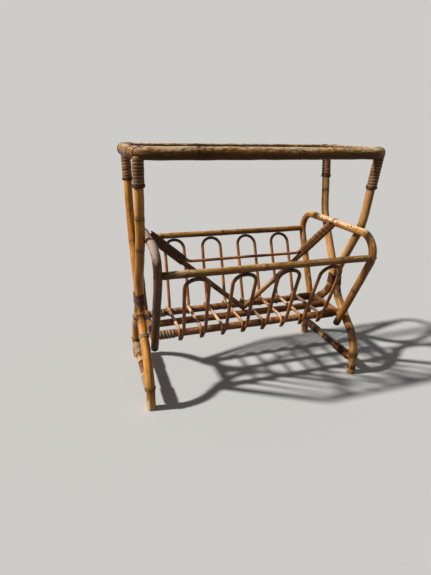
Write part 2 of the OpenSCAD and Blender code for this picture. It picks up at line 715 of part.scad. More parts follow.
top_ring();
leg_front_left();
leg_front_right();
leg_back_left();
leg_back_right();
stretcher_left();
stretcher_right();
end_hoop_left();
end_hoop_right();
top_rail_front();
top_rail_back();
floor_rail_front();
floor_rail_middle();
floor_rail_back();
cross_rail_left();
cross_rail_right();
arch_front_1();
arch_front_2();
arch_front_3();
arch_front_4();
arch_back_1();
arch_back_2();
arch_back_3();
arch_back_4();
floor_bar_1();
floor_bar_2();
floor_bar_3();
floor_bar_4();
floor_bar_5();
floor_bar_6();
floor_bar_7();
floor_bar_8();
divider_strut_left();
divider_strut_right();
divider_rod();
post_wrap_front_left();
post_wrap_front_right();
post_wrap_back_left();
post_wrap_back_right();
ring_strap_front_left();
ring_strap_front_right();
ring_strap_back_left();
ring_strap_back_right();
waist_binding_left();
waist_binding_right();
corner_binding_front_left();
corner_binding_front_right();
corner_binding_back_left();
corner_binding_back_right();
stretcher_wrap_left();
stretcher_wrap_right();
rail_wrap_front();
rail_wrap_back();
strut_wrap_left();
strut_wrap_right();
hoop_tie_left();
hoop_tie_right();
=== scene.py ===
"""Looks of a bent-rattan magazine rack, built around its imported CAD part.

Every pole, cane and strand is swept along the same bent middle line as its CAD node, with the
swellings, scars, shaving, weathering and windings of the real material. Lengths are in metres.
"""

import logging
import math
from dataclasses import dataclass
from enum import Enum
from typing import Callable, Sequence

import bpy
import numpy as np
from mathutils import Matrix, Vector


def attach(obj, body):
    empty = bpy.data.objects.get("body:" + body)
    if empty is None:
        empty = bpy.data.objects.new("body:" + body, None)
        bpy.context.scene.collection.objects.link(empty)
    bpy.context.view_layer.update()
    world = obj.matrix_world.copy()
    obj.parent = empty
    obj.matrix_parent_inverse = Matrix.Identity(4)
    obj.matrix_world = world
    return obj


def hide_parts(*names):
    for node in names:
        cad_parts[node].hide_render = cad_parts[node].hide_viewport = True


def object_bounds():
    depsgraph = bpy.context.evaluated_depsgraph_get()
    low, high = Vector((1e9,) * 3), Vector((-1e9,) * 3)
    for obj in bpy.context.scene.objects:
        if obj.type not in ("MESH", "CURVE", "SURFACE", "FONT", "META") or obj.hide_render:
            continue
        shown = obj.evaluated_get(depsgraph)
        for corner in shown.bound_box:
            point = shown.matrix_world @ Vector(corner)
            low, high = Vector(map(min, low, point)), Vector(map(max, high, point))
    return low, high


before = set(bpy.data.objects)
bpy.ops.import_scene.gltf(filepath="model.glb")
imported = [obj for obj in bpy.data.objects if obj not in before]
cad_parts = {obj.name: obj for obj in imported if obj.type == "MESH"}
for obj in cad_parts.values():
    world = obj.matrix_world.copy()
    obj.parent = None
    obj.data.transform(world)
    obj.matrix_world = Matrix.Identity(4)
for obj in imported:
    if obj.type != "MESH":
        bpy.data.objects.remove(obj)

CAD_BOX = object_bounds()

log = logging.getLogger("rack")
MM = 0.001
GAP = 0.3 * MM  # clearance between two pieces that lie against each other
STRAP_TONE = 0.4  # how dark a strap is, where the turns of a winding lie between 0 and 1
RIGHT, BACK, UP = np.eye(3)


# ---------------------------------------------------------------- Middle lines


def vec(*numbers: float) -> np.ndarray:
    """A vector of the given numbers."""
    return np.array(numbers, float)


def unit(v: np.ndarray) -> np.ndarray:
    """The vector v at length 1."""
    return v / np.linalg.norm(v)


def heading_of(angle: float) -> np.ndarray:
    """The flat direction at an angle in radians."""
    return vec(math.cos(angle), math.sin(angle))


@dataclass(frozen=True)
class Plane:
    """The flat plane in which a pole is bent."""

    origin: np.ndarray
    right: np.ndarray
    up: np.ndarray

    @property
    def normal(self) -> np.ndarray:
        """The direction out of the plane."""
        return np.cross(self.right, self.up)

    def turned(self, flat: np.ndarray) -> np.ndarray:
        """The direction in space of a direction drawn in the plane."""
        return flat[0] * self.right + flat[1] * self.up


@dataclass(frozen=True)
class Run:
    """A straight or evenly bent stretch of a middle line. bend is in radians per metre."""

    start: float
    point: np.ndarray
    heading: float
    length: float
    bend: float

    def reached(self, distance: float) -> tuple[np.ndarray, float]:
        """The point and heading after a distance from the start of this run.

        Args:
            distance: how far along, past its start.

        Returns:
            The point in the plane, and the heading in radians.
        """
        turned = self.heading + distance * self.bend
        if self.bend == 0:
            step = distance * heading_of(turned)
        else:
            step = vec(
                math.sin(turned) - math.sin(self.heading),
                math.cos(self.heading) - math.cos(turned),
            ) / self.bend
        return self.point + step, turned


@dataclass(frozen=True)
class Station:
    """A place on a middle line, with the directions along it, across it and out of its plane."""

    point: np.ndarray
    along: np.ndarray
    across: np.ndarray
    normal: np.ndarray


class Route:
    """The middle line of a pole: straight runs and arcs in one plane."""

    def __init__(
        self, plane: Plane, start: np.ndarray, heading: float, steps: Sequence[tuple[float, float]]
    ) -> None:
        """Lays the steps one after the other.

        Args:
            plane: the plane of the bends.
            start: the first point, drawn in the plane.
            heading: the first direction, in radians from the plane's right.
            steps: a length and a bend, in radians per metre, for each run.
        """
        self.plane = plane
        self.runs: list[Run] = []
        distance, point = 0.0, start
        for length, bend in steps:
            run = Run(distance, point, heading, length, bend)
            self.runs.append(run)
            point, heading = run.reached(length)
            distance += length
        self.length = distance

    @classmethod
    def through(
        cls, plane: Plane, corners: Sequence[np.ndarray], radii: Sequence[float]
    ) -> "Route":
        """A route through corners that are bent to the given radii.

        Args:
            plane: the plane of the bends.
            corners: the points where straight runs would meet.
            radii: one bend radius for each corner; the first and the last aren't used.

        Returns:
            The route from the first corner to the last.
        """
        legs = [b - a for a, b in zip(corners, corners[1:])]
        sizes = [float(np.linalg.norm(leg)) for leg in legs]
        headings = [math.atan2(leg[1], leg[0]) for leg in legs]
        turns = [math.remainder(b - a, math.tau) for a, b in zip(headings, headings[1:])]
        cuts = [0.0]
        for i, turn in enumerate(turns):
            wanted = radii[i + 1] * math.tan(abs(turn) / 2)
            cuts.append(min(wanted, min(sizes[i], sizes[i + 1]) / 2))
        cuts.append(0.0)
        steps: list[tuple[float, float]] = []
        for i, size in enumerate(sizes):
            steps.append((size - cuts[i] - cuts[i + 1], 0.0))
            if i < len(turns):
                arc = cuts[i + 1] / math.tan(abs(turns[i]) / 2) * abs(turns[i])
                steps.append((arc, turns[i] / arc))
        return cls(plane, corners[0], headings[0], steps)

    @classmethod
    def straight(cls, start: np.ndarray, end: np.ndarray, across: np.ndarray = UP) -> "Route":
        """A straight route.

        Args:
            start: its first point.
            end: its last point.
            across: its sideways direction.

        Returns:
            The route.
        """
        plane = Plane(start, unit(end - start), across)
        return cls(plane, vec(0, 0), 0.0, [(float(np.linalg.norm(end - start)), 0.0)])

    def at(self, distance: float) -> Station:
        """The station at a distance along the route.

        Args:
            distance: how far along; before the start or past the end, the nearest run goes on.

        Returns:
            The point and the directions there.
        """
        run = self.runs[0]
        for other in self.runs:
            if other.start <= distance:
                run = other
        flat, heading = run.reached(distance - run.start)
        along = heading_of(heading)
        return Station(
            self.plane.origin + self.plane.turned(flat),
            self.plane.turned(along),
            self.plane.turned(vec(-along[1], along[0])),
            self.plane.normal,
        )

    def distance_at(self, height: float, low: float, high: float) -> float:
        """The distance at which a rising route reaches a height.

        Args:
            height: the height above the floor.
            low: a distance at which the route is lower.
            high: a distance at which it is higher.

        Returns:
            The distance, to a thousandth of a millimetre.
        """
        for _ in range(30):
            middle = (low + high) / 2
            if self.at(middle).point[2] < height:
                low = middle
            else:
                high = middle
        return (low + high) / 2

    def marks(self, spacing: float, details: Sequence[float]) -> list[float]:
        """Where the rings of a mesh lie.

        Args:
            spacing: the usual distance between rings.
            details: where rings are wanted as well.

        Returns:
            The distances, from the start to the end.
        """
        even = np.linspace(0, self.length, max(2, round(self.length / spacing) + 1))
        close = [d for d in details if 0 <= d <= self.length]
        kept = [s for s in even if all(abs(s - d) > spacing / 4 for d in close)]
        return sorted({round(float(s), 6) for s in [0.0, self.length, *kept, *close]})


# ---------------------------------------------------------------- Shader graphs


class Value:
    """A socket of a material's graph, on which Python's operators add Math nodes."""

    def __init__(self, graph: "Graph", socket: bpy.types.NodeSocket) -> None:
        """Wraps one output socket."""
        self.graph = graph
        self.socket = socket

    def _math(self, operation: str, first: "Value | float", second: "Value | float") -> "Value":
        """A Math node of two inputs."""
        return self.graph.add("ShaderNodeMath", {"operation": operation}, {0: first, 1: second})

    def __add__(self, other: "Value | float") -> "Value":
        """self + other."""
        return self._math("ADD", self, other)

    def __radd__(self, other: float) -> "Value":
        """other + self."""
        return self._math("ADD", other, self)

    def __sub__(self, other: "Value | float") -> "Value":
        """self - other."""
        return self._math("SUBTRACT", self, other)

    def __rsub__(self, other: float) -> "Value":
        """other - self."""
        return self._math("SUBTRACT", other, self)

    def __mul__(self, other: "Value | float") -> "Value":
        """self * other."""
        return self._math("MULTIPLY", self, other)

    def __rmul__(self, other: float) -> "Value":
        """other * self."""
        return self._math("MULTIPLY", other, self)

    def __abs__(self) -> "Value":
        """The size of self without its sign."""
        return self._math("ABSOLUTE", self, 0.0)

    def larger(self, other: "Value | float") -> "Value":
        """The larger of self and other."""
        return self._math("MAXIMUM", self, other)

    def eased(self, low: float, high: float) -> "Value":
        """A smooth step from 0 to 1.

        Args:
            low: where the step starts.
            high: where it ends.

        Returns:
            The step.
        """
        return self.graph.add(
            "ShaderNodeMapRange",
            {"interpolation_type": "SMOOTHSTEP"},
            {"Value": self, "From Min": low, "From Max": high},
        )


def tint(code: str) -> tuple[float, float, float, float]:
    """The linear colour of a hex code.

    Args:
        code: six hex digits, as on a colour chart.

    Returns:
        Red, green, blue and alpha.
    """
    parts = [int(code[i : i + 2], 16) / 255 for i in (0, 2, 4)]
    linear = [p / 12.92 if p <= 0.04045 else ((p + 0.055) / 1.055) ** 2.4 for p in parts]
    return (*linear, 1.0)


class Graph:
    """The node graph of one material or of the world."""

    # The shine of dull, dry surfaces, that of old lacquer, and the noises' finer layers
    SPECULAR = 0.13
    COAT_ROUGHNESS = 0.28
    NOISE_ROUGHNESS = 0.55

    def __init__(self, owner: bpy.types.Material | bpy.types.World) -> None:
        """Opens a node graph with what it holds by default.

        Args:
            owner: a new material or world.
        """
        owner.use_nodes = True
        self.owner = owner
        self.tree = owner.node_tree
        self.shader = self.tree.nodes.get("Principled BSDF")

    def add(
        self,
        kind: str,
        settings: dict[str, object] | None = None,
        sockets: dict[str | int, object] | None = None,
        output: str | int = 0,
    ) -> Value:
        """Adds a node.

        Args:
            kind: the node's type.
            settings: its properties; stops is a colour ramp's list of places and colours.
            sockets: a value or a link for each input, by name, identifier or place.
            output: the output to hand back, by name, identifier or place.

        Returns:
            That output, ready for more sums.
        """
        node = self.tree.nodes.new(kind)
        for name, setting in (settings or {}).items():
            if name == "stops":
                ramp = node.color_ramp
                while len(ramp.elements) < len(setting):
                    ramp.elements.new(1.0)
                for element, (place, colour) in zip(ramp.elements, setting):
                    element.position, element.color = place, colour
            else:
                setattr(node, name, setting)
        for name, given in (sockets or {}).items():
            self.feed(self._socket(node.inputs, name), given)
        return Value(self, self._socket(node.outputs, output))

    def feed(self, socket: bpy.types.NodeSocket, given: object) -> None:
        """Links or sets one input socket.

        Args:
            socket: the input.
            given: a Value to link, or a plain value to set.
        """
        if isinstance(given, Value):
            self.tree.links.new(given.socket, socket)
        else:
            socket.default_value = given

    @staticmethod
    def _socket(group: Sequence[bpy.types.NodeSocket], name: str | int) -> bpy.types.NodeSocket:
        """Finds a socket of a node.

        Args:
            group: a node's inputs or outputs.
            name: the place, the identifier or the name.

        Returns:
            The socket.
        """
        if isinstance(name, int):
            return group[name]
        return next((s for s in group if s.identifier == name), None) or group[name]

    def mix(self, base: object, other: object, share: Value | float) -> Value:
        """Mixes two colours.

        Args:
            base: the colour at share 0.
            other: the colour at share 1.
            share: how much of the other shows.

        Returns:
            The mixed colour.
        """
        return self.add(
            "ShaderNodeMix",
            {"data_type": "RGBA"},
            {"Factor_Float": share, "A_Color": base, "B_Color": other},
            "Result_Color",
        )

    def reading(self, name: str, output: str = "Fac") -> Value:
        """What the mesh stores under a name."""
        return self.add("ShaderNodeAttribute", {"attribute_name": name}, {}, output)

    def seen(self) -> Value:
        """Tells what the eye sees from what only lights the scene.

        Returns:
            1 for a ray from the eye, also by way of a mirror or glass, and 0 for other rays.
        """
        rays = ("Is Camera Ray", "Is Glossy Ray", "Is Transmission Ray")
        camera, glossy, clear = (self.add("ShaderNodeLightPath", {}, {}, ray) for ray in rays)
        return camera.larger(glossy).larger(clear)

    def noise(self, place: Value, grain: tuple[float, float, float], detail: float = 3.0) -> Value:
        """Noise of a given grain.

        Args:
            place: where on the piece.
            grain: cells per metre in each direction.
            detail: how many finer layers are added.

        Returns:
            The noise, about 0.5 in the middle.
        """
        scaled = self.add("ShaderNodeVectorMath", {"operation": "MULTIPLY"}, {0: place, 1: grain})
        sockets = {"Vector": scaled, "Scale": 1.0, "Detail": detail}
        sockets["Roughness"] = self.NOISE_ROUGHNESS
        return self.add("ShaderNodeTexNoise", {}, sockets)

    def spots(self, place: Value, grain: tuple[float, float, float]) -> Value:
        """Scattered spots.

        Args:
            place: where on the piece.
            grain: cells per metre in each direction.

        Returns:
            The distance from the nearest spot's middle, in cells.
        """
        scaled = self.add("ShaderNodeVectorMath", {"operation": "MULTIPLY"}, {0: place, 1: grain})
        return self.add("ShaderNodeTexVoronoi", {}, {"Vector": scaled, "Scale": 1.0}, "Distance")

    def finish(
        self,
        colour: Value,
        roughness: Value,
        height: Value,
        depth: float,
        coat: Value | None = None,
    ) -> None:
        """Feeds the shader.

        Args:
            colour: the base colour.
            roughness: how dull the surface is.
            height: the relief, from 0 to 1.
            depth: how deep a relief of 1 is.
            coat: how much lacquer there is, if any.
        """
        relief = {"Height": height, "Strength": 1.0, "Distance": depth}
        sockets = {
            "Base Color": colour,
            "Roughness": roughness,
            "Normal": self.add("ShaderNodeBump", {}, relief, "Normal"),
            "Specular IOR Level": self.SPECULAR,
        }
        if coat is not None:
            sockets |= {"Coat Weight": coat, "Coat Roughness": self.COAT_ROUGHNESS}
        for name, given in sockets.items():
            self.feed(self.shader.inputs[name], given)


@dataclass(frozen=True)
class RattanFinish:
    """Lacquered rattan skin: fibres along the pole, scars at the knuckles and weathered patches.

    Colours are hex codes. skin and tone are the two shades of the skin, streak is its dark fibres,
    scar the knuckles' leaf scars, grey the weathered wood, soil the dark of stains and of
    painted shade, and pith the cut ends.
    greyness is how weathered the pole is all over, and sky_grey_and_top_light how much paler it is
    where
    it faces up: partly grey weathering, partly a painted highlight of the light from above.
    fibre, underside and flaking are how strongly the fibres, the painted shade below and the
    chipped skin show, and painted_shade_reach is how far up that painted shade reaches. gloss is
    the roughness of clean skin, and coat is the lacquer on it.
    """

    name: str
    skin: str
    tone: str
    streak: str
    scar: str
    grey: str
    greyness: float = 0.0
    sky_grey_and_top_light: float = 0.0
    gloss: float = 0.36
    fibre: float = 0.5
    underside: float = 0.35
    painted_shade_reach: float = 0.2
    coat: float = 0.25
    flaking: float = 0.8
    soil: str = "2a1a10"
    pith: str = "a5794c"

    # Cells per metre across the pole, twice, and along it
    FIBRE = (900, 900, 14)
    STREAKS = (330, 330, 11)
    HAIR = (2600, 2600, 30)
    MOTTLE = (130, 130, 45)
    CLOUD = (45, 45, 14)
    FLAKES = (300, 300, 110)
    PITS = (210, 210, 120)
    PORES = (2600, 2600, 200)

    # Where a noise starts to show as a mark, and where the mark is full
    TONE_BAND = (0.4, 0.62)
    STREAK_BAND = (0.46, 0.62)
    HAIR_BAND = (0.6, 0.8)
    CHIP_BAND = (0.0, 0.12)
    PAINTED_SHADE_BAND = (0.0, 0.9)
    GREY_BAND = (0.3, 1.0)
    DIRT_AND_SHADE_BAND = (0.25, 0.6)
    GRIME_AND_SHADE_BAND = (0.1, 0.9)
    PIT_BAND = (0.1, 0.2)
    PITTED_BAND = (0.48, 0.58)
    PORE_BAND = (0.15, 0.45)
    BLOTCH_BAND = (0.35, 0.6)
    SMUDGE_BAND = (0.45, 0.6)

    # How strongly each mark colours the skin
    HAIR_SHARE = 0.22
    CHIP_LEVEL = 0.48
    CHIP_SHARE = 0.6
    GREY_SHARE = 0.85
    GRIME_AND_SHADE_SHARE = 0.9
    SPECK_SHARE = 0.8
    SMUDGE_SHARE = 0.4
    RING_SHARE = 0.55

    # The relief, and the knuckles' scars: distances past a knuckle
    RELIEF = 0.4 * MM
    SCAR_UNREST = 6 * MM
    SCAR_START = (-1.5 * MM, 0.5 * MM)
    SCAR_END = (2 * MM, 12 * MM)
    SMUDGE_PLACE = -4 * MM
    SMUDGE_REACH = (1 * MM, 7 * MM)
    RING_REACH = (0.4 * MM, 1.6 * MM)

    def material(self) -> bpy.types.Material:
        """Makes the material of this finish.

        Returns:
            The material.
        """
        g = Graph(bpy.data.materials.new(self.name))
        place = g.reading("grain", "Vector")
        fibre = g.noise(place, self.FIBRE, 4)
        streaks = g.noise(place, self.STREAKS, 4)
        hair = g.noise(place, self.HAIR, 2)
        mottle = g.noise(place, self.MOTTLE, 4)
        cloud = g.noise(place, self.CLOUD, 3)
        flakes = g.noise(place, self.FLAKES, 5)

        colour = g.mix(tint(self.skin), tint(self.tone), cloud.eased(*self.TONE_BAND))
        lines = (fibre * 0.4 + streaks * 0.6).eased(*self.STREAK_BAND)
        colour = g.mix(colour, tint(self.streak), lines * self.fibre)
        colour = g.mix(colour, tint(self.soil), hair.eased(*self.HAIR_BAND) * self.HAIR_SHARE)
        chips = (self.CHIP_LEVEL - flakes).eased(*self.CHIP_BAND)
        colour = g.mix(colour, tint(self.streak), chips * (self.CHIP_SHARE * self.flaking))
        colour, ring = self._knuckles(g, colour, mottle)

        facing = g.add("ShaderNodeNewGeometry", {}, {}, "Normal")
        upward = g.add("ShaderNodeSeparateXYZ", {}, {0: facing}, "Z")
        # Painted shade: the skin darkens towards its streak colour where the surface faces down
        shade = (self.painted_shade_reach - upward + (flakes - 0.5) * 1.6).eased(*self.PAINTED_SHADE_BAND)
        colour = g.mix(colour, tint(self.streak), shade * self.underside)
        broken = (mottle - 0.5) * 0.8 + (streaks - 0.5) * 1.6
        broken = broken + (flakes - 0.5) * (2.2 * self.flaking)
        # Faces that look up grow paler: partly grey weathering, partly a painted highlight of the
        # light from above
        bleach = g.reading("worn") + broken + upward * self.sky_grey_and_top_light
        grey = (bleach + self.greyness).eased(*self.GREY_BAND)
        colour = g.mix(colour, tint(self.grey), grey * self.GREY_SHARE)

        # Stains and painted shade share this attribute: the ring's shaded inner side and shadows
        # cast by other parts are painted in the dark stain colour
        dirt_and_shade_amount = g.reading("soil")
        grime_and_shade = (dirt_and_shade_amount * mottle.eased(*self.DIRT_AND_SHADE_BAND)).eased(*self.GRIME_AND_SHADE_BAND)
        colour = g.mix(colour, tint(self.soil), grime_and_shade * self.GRIME_AND_SHADE_SHARE)
        pits = g.spots(place, self.PITS)
        speck = (1 - pits.eased(*self.PIT_BAND)) * cloud.eased(*self.PITTED_BAND)
        colour = g.mix(colour, tint(self.soil), speck * self.SPECK_SHARE)

        cut = g.reading("cut")
        pores = 1 - g.spots(place, self.PORES).eased(*self.PORE_BAND)
        colour = g.mix(colour, g.mix(tint(self.pith), tint(self.soil), pores), cut)

        rough = self.gloss + grey * 0.3 + (fibre - 0.5) * 0.25 + dirt_and_shade_amount * 0.2
        coat = (self.coat - grey * self.coat - cut).larger(0.0)
        height = fibre * 0.3 + streaks * 0.3 + flakes * 0.4 - speck * 0.5 - ring * 0.3
        g.finish(colour, rough, height, self.RELIEF, coat)
        return g.owner

    def _knuckles(self, g: Graph, colour: Value, mottle: Value) -> tuple[Value, Value]:
        """Darkens the leaf scar at each knuckle.

        Args:
            g: the material's graph.
            colour: the skin's colour.
            mottle: blotchy noise that breaks the scar up.

        Returns:
            The colour with the scars, and how strong a scar's ring is.
        """
        past = g.reading("knuckle") + (mottle - 0.5) * self.SCAR_UNREST
        band = past.eased(*self.SCAR_START) * (1 - past.eased(*self.SCAR_END))
        below = 1 - abs(past - self.SMUDGE_PLACE).eased(*self.SMUDGE_REACH)
        smudge = below * mottle.eased(*self.SMUDGE_BAND)
        ring = 1 - abs(past).eased(*self.RING_REACH)
        blotches = 0.35 + mottle.eased(*self.BLOTCH_BAND) * 0.5
        colour = g.mix(colour, tint(self.scar), band * blotches)
        colour = g.mix(colour, tint(self.scar), smudge * self.SMUDGE_SHARE)
        return g.mix(colour, tint(self.soil), ring * self.RING_SHARE), ring


@dataclass(frozen=True)
class StrandFinish:
    """Flat strands of split cane: dull and fibrous, and dark in the joints between turns.

    Colours are hex codes: light and dark are the two shades, joint is the seam between turns, and
    grey the weathered cane.
    """

    name: str
    light: str
    dark: str
    joint: str
    grey: str
    greyness: float = 0.3
    gloss: float = 0.52

    # Cells per metre across the strand, twice, and along it
    FIBRE = (1500, 1500, 26)
    MOTTLE = (180, 180, 60)
    RELIEF = 0.3 * MM

    # Where a noise starts to show as a mark, and where the mark is full; how strongly it colours
    SHADE_BAND = (0.42, 0.6)
    GREY_BAND = (0.15, 0.75)
    SEAM_BAND = (0.5, 0.95)
    TURN_SHARE = 0.6
    GREY_SHARE = 0.8
    SEAM_SHARE = 0.9

    def material(self) -> bpy.types.Material:
        """Makes the material of this finish.

        Returns:
            The material.
        """
        g = Graph(bpy.data.materials.new(self.name))
        place = g.reading("grain", "Vector")
        fibre = g.noise(place, self.FIBRE, 4)
        mottle = g.noise(place, self.MOTTLE, 3)
        turn = g.reading("turn")
        edge = g.reading("edge")

        blend = (fibre * 0.55 + mottle * 0.45).eased(*self.SHADE_BAND)
        colour = g.mix(tint(self.light), tint(self.dark), blend)
        colour = g.mix(colour, tint(self.dark), turn * self.TURN_SHARE)
        bleach = self.greyness + (mottle - 0.5) * 1.4 + (fibre - 0.5) * 0.8 - turn * 0.3
        grey = bleach.eased(*self.GREY_BAND)
        colour = g.mix(colour, tint(self.grey), grey * self.GREY_SHARE)
        seam = edge.eased(*self.SEAM_BAND)
        colour = g.mix(colour, tint(self.joint), seam * self.SEAM_SHARE)

        rough = self.gloss + grey * 0.2 + (fibre - 0.5) * 0.2
        height = fibre * 0.6 + mottle * 0.4 - seam * 0.6
        g.finish(colour, rough, height, self.RELIEF)
        return g.owner


@dataclass(frozen=True)
class IronFinish:
    """Dull dark nail heads with a little rust."""

    name: str = "nail_iron"
    steel: str = "241f1d"
    rust: str = "3a2116"

    BLOOM = (900, 900, 900)
    BLOOM_BAND = (0.45, 0.6)
    RELIEF = 0.08 * MM

    def material(self) -> bpy.types.Material:
        """Makes the material of this finish.

        Returns:
            The material.
        """
        g = Graph(bpy.data.materials.new(self.name))
        place = g.reading("grain", "Vector")
        bloom = g.noise(place, self.BLOOM, 3).eased(*self.BLOOM_BAND)
        colour = g.mix(tint(self.steel), tint(self.rust), bloom)
        g.feed(g.shader.inputs["Metallic"], 0.35 - bloom * 0.3)
        g.finish(colour, 0.4 + bloom * 0.35, bloom, self.RELIEF)
        return g.owner


class Finish(Enum):
    """The finishes of the rack, each with the record's material slot that it belongs to."""

    RING = ("ring_rattan", RattanFinish(
        "weathered_ring_rattan", "a0702f", "7c5122", "44280f", "3a2212", "dcbc92",
        greyness=-0.25, sky_grey_and_top_light=1.05, gloss=0.48, fibre=0.9, underside=0.8, painted_shade_reach=0.4,
        coat=0.05, flaking=1.15))
    LEG = ("leg_rattan", RattanFinish(
        "golden_leg_rattan", "eaa54a", "c67d2c", "7e4917", "502c16", "e6c48c",
        greyness=-0.2, gloss=0.31, fibre=0.68, flaking=0.6))
    # A duller copy of the leg finish for the right-hand legs: partly their own browner tone, partly
    # painted shade from the basket
    TAN_LEG = ("leg_rattan", RattanFinish(
        "tan_leg_rattan", "dba05a", "b47c3c", "6e4620", "47291a", "e4c699",
        greyness=-0.2, gloss=0.33, fibre=0.72, underside=0.45, flaking=0.7))
    HOOP = ("hoop_rattan", RattanFinish(
        "pale_hoop_rattan", "bf8038", "9a602a", "6a3e19", "4d2914", "e4c698",
        greyness=-0.35, sky_grey_and_top_light=1.4, gloss=0.42, fibre=0.75, underside=0.6, flaking=1.1))
    GREY_HOOP = ("hoop_rattan", RattanFinish(
        "grey_hoop_rattan", "965a28", "70421f", "4c2a14", "452413", "b49a8a",
        greyness=-0.25, sky_grey_and_top_light=0.9, gloss=0.45, fibre=0.75, underside=0.7, flaking=1.1))
    TOP_RAIL = ("hoop_rattan", RattanFinish(
        "olive_rail_rattan", "c68c42", "9e6a29", "5e3b18", "402612", "dab884",
        greyness=-0.15, sky_grey_and_top_light=0.75, gloss=0.38, fibre=0.75, underside=0.85, painted_shade_reach=0.3,
        flaking=0.9))
    FLOOR_RAIL = ("rail_rattan", RattanFinish(
        "brown_rail_rattan", "a3682f", "7a4a23", "47260f", "3b2010", "cfa476",
        greyness=-0.2, sky_grey_and_top_light=0.6, gloss=0.4, fibre=0.75, underside=0.8, flaking=0.8))
    CANE = ("bent_cane", RattanFinish(
        "red_brown_cane", "c4742e", "8c4f20", "4e280e", "321b0e", "e0a664",
        greyness=-0.3, sky_grey_and_top_light=0.4, gloss=0.34, fibre=0.75, underside=0.45, flaking=0.6))
    BAR = ("bent_cane", RattanFinish(
        "tan_bar_cane", "b8783a", "8b5627", "5c3315", "402212", "e2c09a",
        sky_grey_and_top_light=0.7, gloss=0.42, fibre=0.7, underside=0.8, flaking=0.8))
    WEATHERED_STRAND = ("cane_strand", StrandFinish(
        "weathered_strand", "b89c7a", "8b6c4d", "33231a", "cfbea6", greyness=0.45))
    POST_STRAND = ("cane_strand", StrandFinish(
        "post_strand", "b98b62", "74492a", "20130c", "cfb294"))
    DARK_STRAND = ("cane_strand", StrandFinish(
        "dark_strand", "86604a", "5a3d2d", "21140e", "8f7566", greyness=0.1))
    BROWN_STRAND = ("cane_strand", StrandFinish(
        "brown_strand", "6f4324", "4a2a16", "1c100a", "86664a", greyness=0.0))
    RED_STRAND = ("cane_strand", StrandFinish(
        "red_strand", "b07a4e", "744829", "28160d", "d4ae8c", greyness=0.25))
    NAIL = ("cane_strand", IronFinish())

    @property
    def slot(self) -> str:
        """The record's material slot."""
        return self.value[0]

    def material(self) -> bpy.types.Material:
        """The finish's material, made once."""
        name = self.value[1].name
        return bpy.data.materials.get(name) or self.value[1].material()


# ---------------------------------------------------------------- Meshes


@dataclass
class Sheet:
    """A grid of points, rows along the piece and columns round it, with what its material reads."""

    points: np.ndarray
    stores: dict[str, np.ndarray]
    closed_rows: bool = False

    def mesh(self, name: str, finish: Finish, nodes: Sequence[str]) -> bpy.types.Object:
        """Makes the object.

        Args:
            name: the piece's name.
            finish: its finish.
            nodes: the CAD nodes that it stands for.

        Returns:
            The object, riding on the frame.
        """
        verts, faces = self.points.reshape(-1, 3), self._skin()
        stores = {key: value.reshape(len(verts), -1) for key, value in self.stores.items()}
        smooth = [True] * len(faces)
        if not self.closed_rows:
            verts = np.vstack([verts, self._middles(self.points)])
            for key, value in self.stores.items():
                stores[key] = np.vstack([stores[key], self._middles(value)])
            faces += self._caps()
            smooth += [False] * (len(faces) - len(smooth))
        data = bpy.data.meshes.new(name)
        data.from_pydata(np.clip(verts, *CAD_BOX).tolist(), [], faces)
        data.polygons.foreach_set("use_smooth", smooth)
        for key, value in stores.items():
            vector = value.shape[1] == 3
            store = data.attributes.new(key, "FLOAT_VECTOR" if vector else "FLOAT", "POINT")
            flat = value.astype(np.float32).ravel()
            store.data.foreach_set("vector" if vector else "value", flat)
        data.materials.append(finish.material())
        data.validate()
        piece = bpy.data.objects.new(name, data)
        bpy.context.scene.collection.objects.link(piece)
        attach(piece, "root")
        finish.slot
        if nodes:
            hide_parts(*nodes)
        log.info("%s: %d faces for %s", name, len(faces), ", ".join(nodes) or "no node")
        return piece

    def _skin(self) -> list[tuple[int, ...]]:
        """The faces between one row and the next.

        Returns:
            Four point numbers for each face.
        """
        rows, columns, _ = self.points.shape
        faces = []
        for i in range(rows if self.closed_rows else rows - 1):
            here, there = i * columns, (i + 1) % rows * columns
            for j in range(columns):
                k = (j + 1) % columns
                faces.append((here + j, here + k, there + k, there + j))
        return faces

    def _caps(self) -> list[tuple[int, ...]]:
        """The faces that close both ends, from the middles that follow the last point.

        Returns:
            Three point numbers for each face.
        """
        rows, columns, _ = self.points.shape
        first, row = rows * columns, (rows - 1) * columns
        faces = []
        for j in range(columns):
            k = (j + 1) % columns
            faces += [(first, k, j), (first + 1, row + j, row + k)]
        return faces

    def _middles(self, values: np.ndarray) -> np.ndarray:
        """The mean of the first row of values and that of the last."""
        return values.reshape(*self.points.shape[:2], -1)[[0, -1]].mean(axis=1)


@dataclass(frozen=True)
class Patch:
    """A worn, stained or shade-painted stretch of a pole: its middle, how far it reaches and how
    strong it is.
    """

    middle: float
    reach: float
    strength: float = 1.0

    def share(self, distance: float) -> float:
        """The strength of the patch at a distance along the pole."""
        t = max(0.0, 1 - abs(distance - self.middle) / self.reach)
        return self.strength * t * t * (3 - 2 * t)


@dataclass(frozen=True)
class PoleCut:
    """A round pole against which another pole's end is coped."""

    point: np.ndarray
    axis: np.ndarray
    radius: float

    def reach(self, start: np.ndarray, along: np.ndarray) -> float:
        """How far a line from start runs before it meets this pole.

        Args:
            start: a point on the line.
            along: the line's direction.

        Returns:
            The distance, negative behind the start.
        """
        side = start - self.point
        side = side - side.dot(self.axis) * self.axis
        step = along - along.dot(self.axis) * self.axis
        a, b, c = step.dot(step), side.dot(step), side.dot(side) - self.radius**2
        return (-b - math.sqrt(max(0.0, b * b - a * c))) / a


@dataclass(frozen=True)
class FlatCut:
    """A plane at which a pole's end is sawn off."""

    point: np.ndarray
    normal: np.ndarray

    def reach(self, start: np.ndarray, along: np.ndarray) -> float:
        """How far a line from start runs before it meets the plane."""
        return float((self.point - start).dot(self.normal) / along.dot(self.normal))


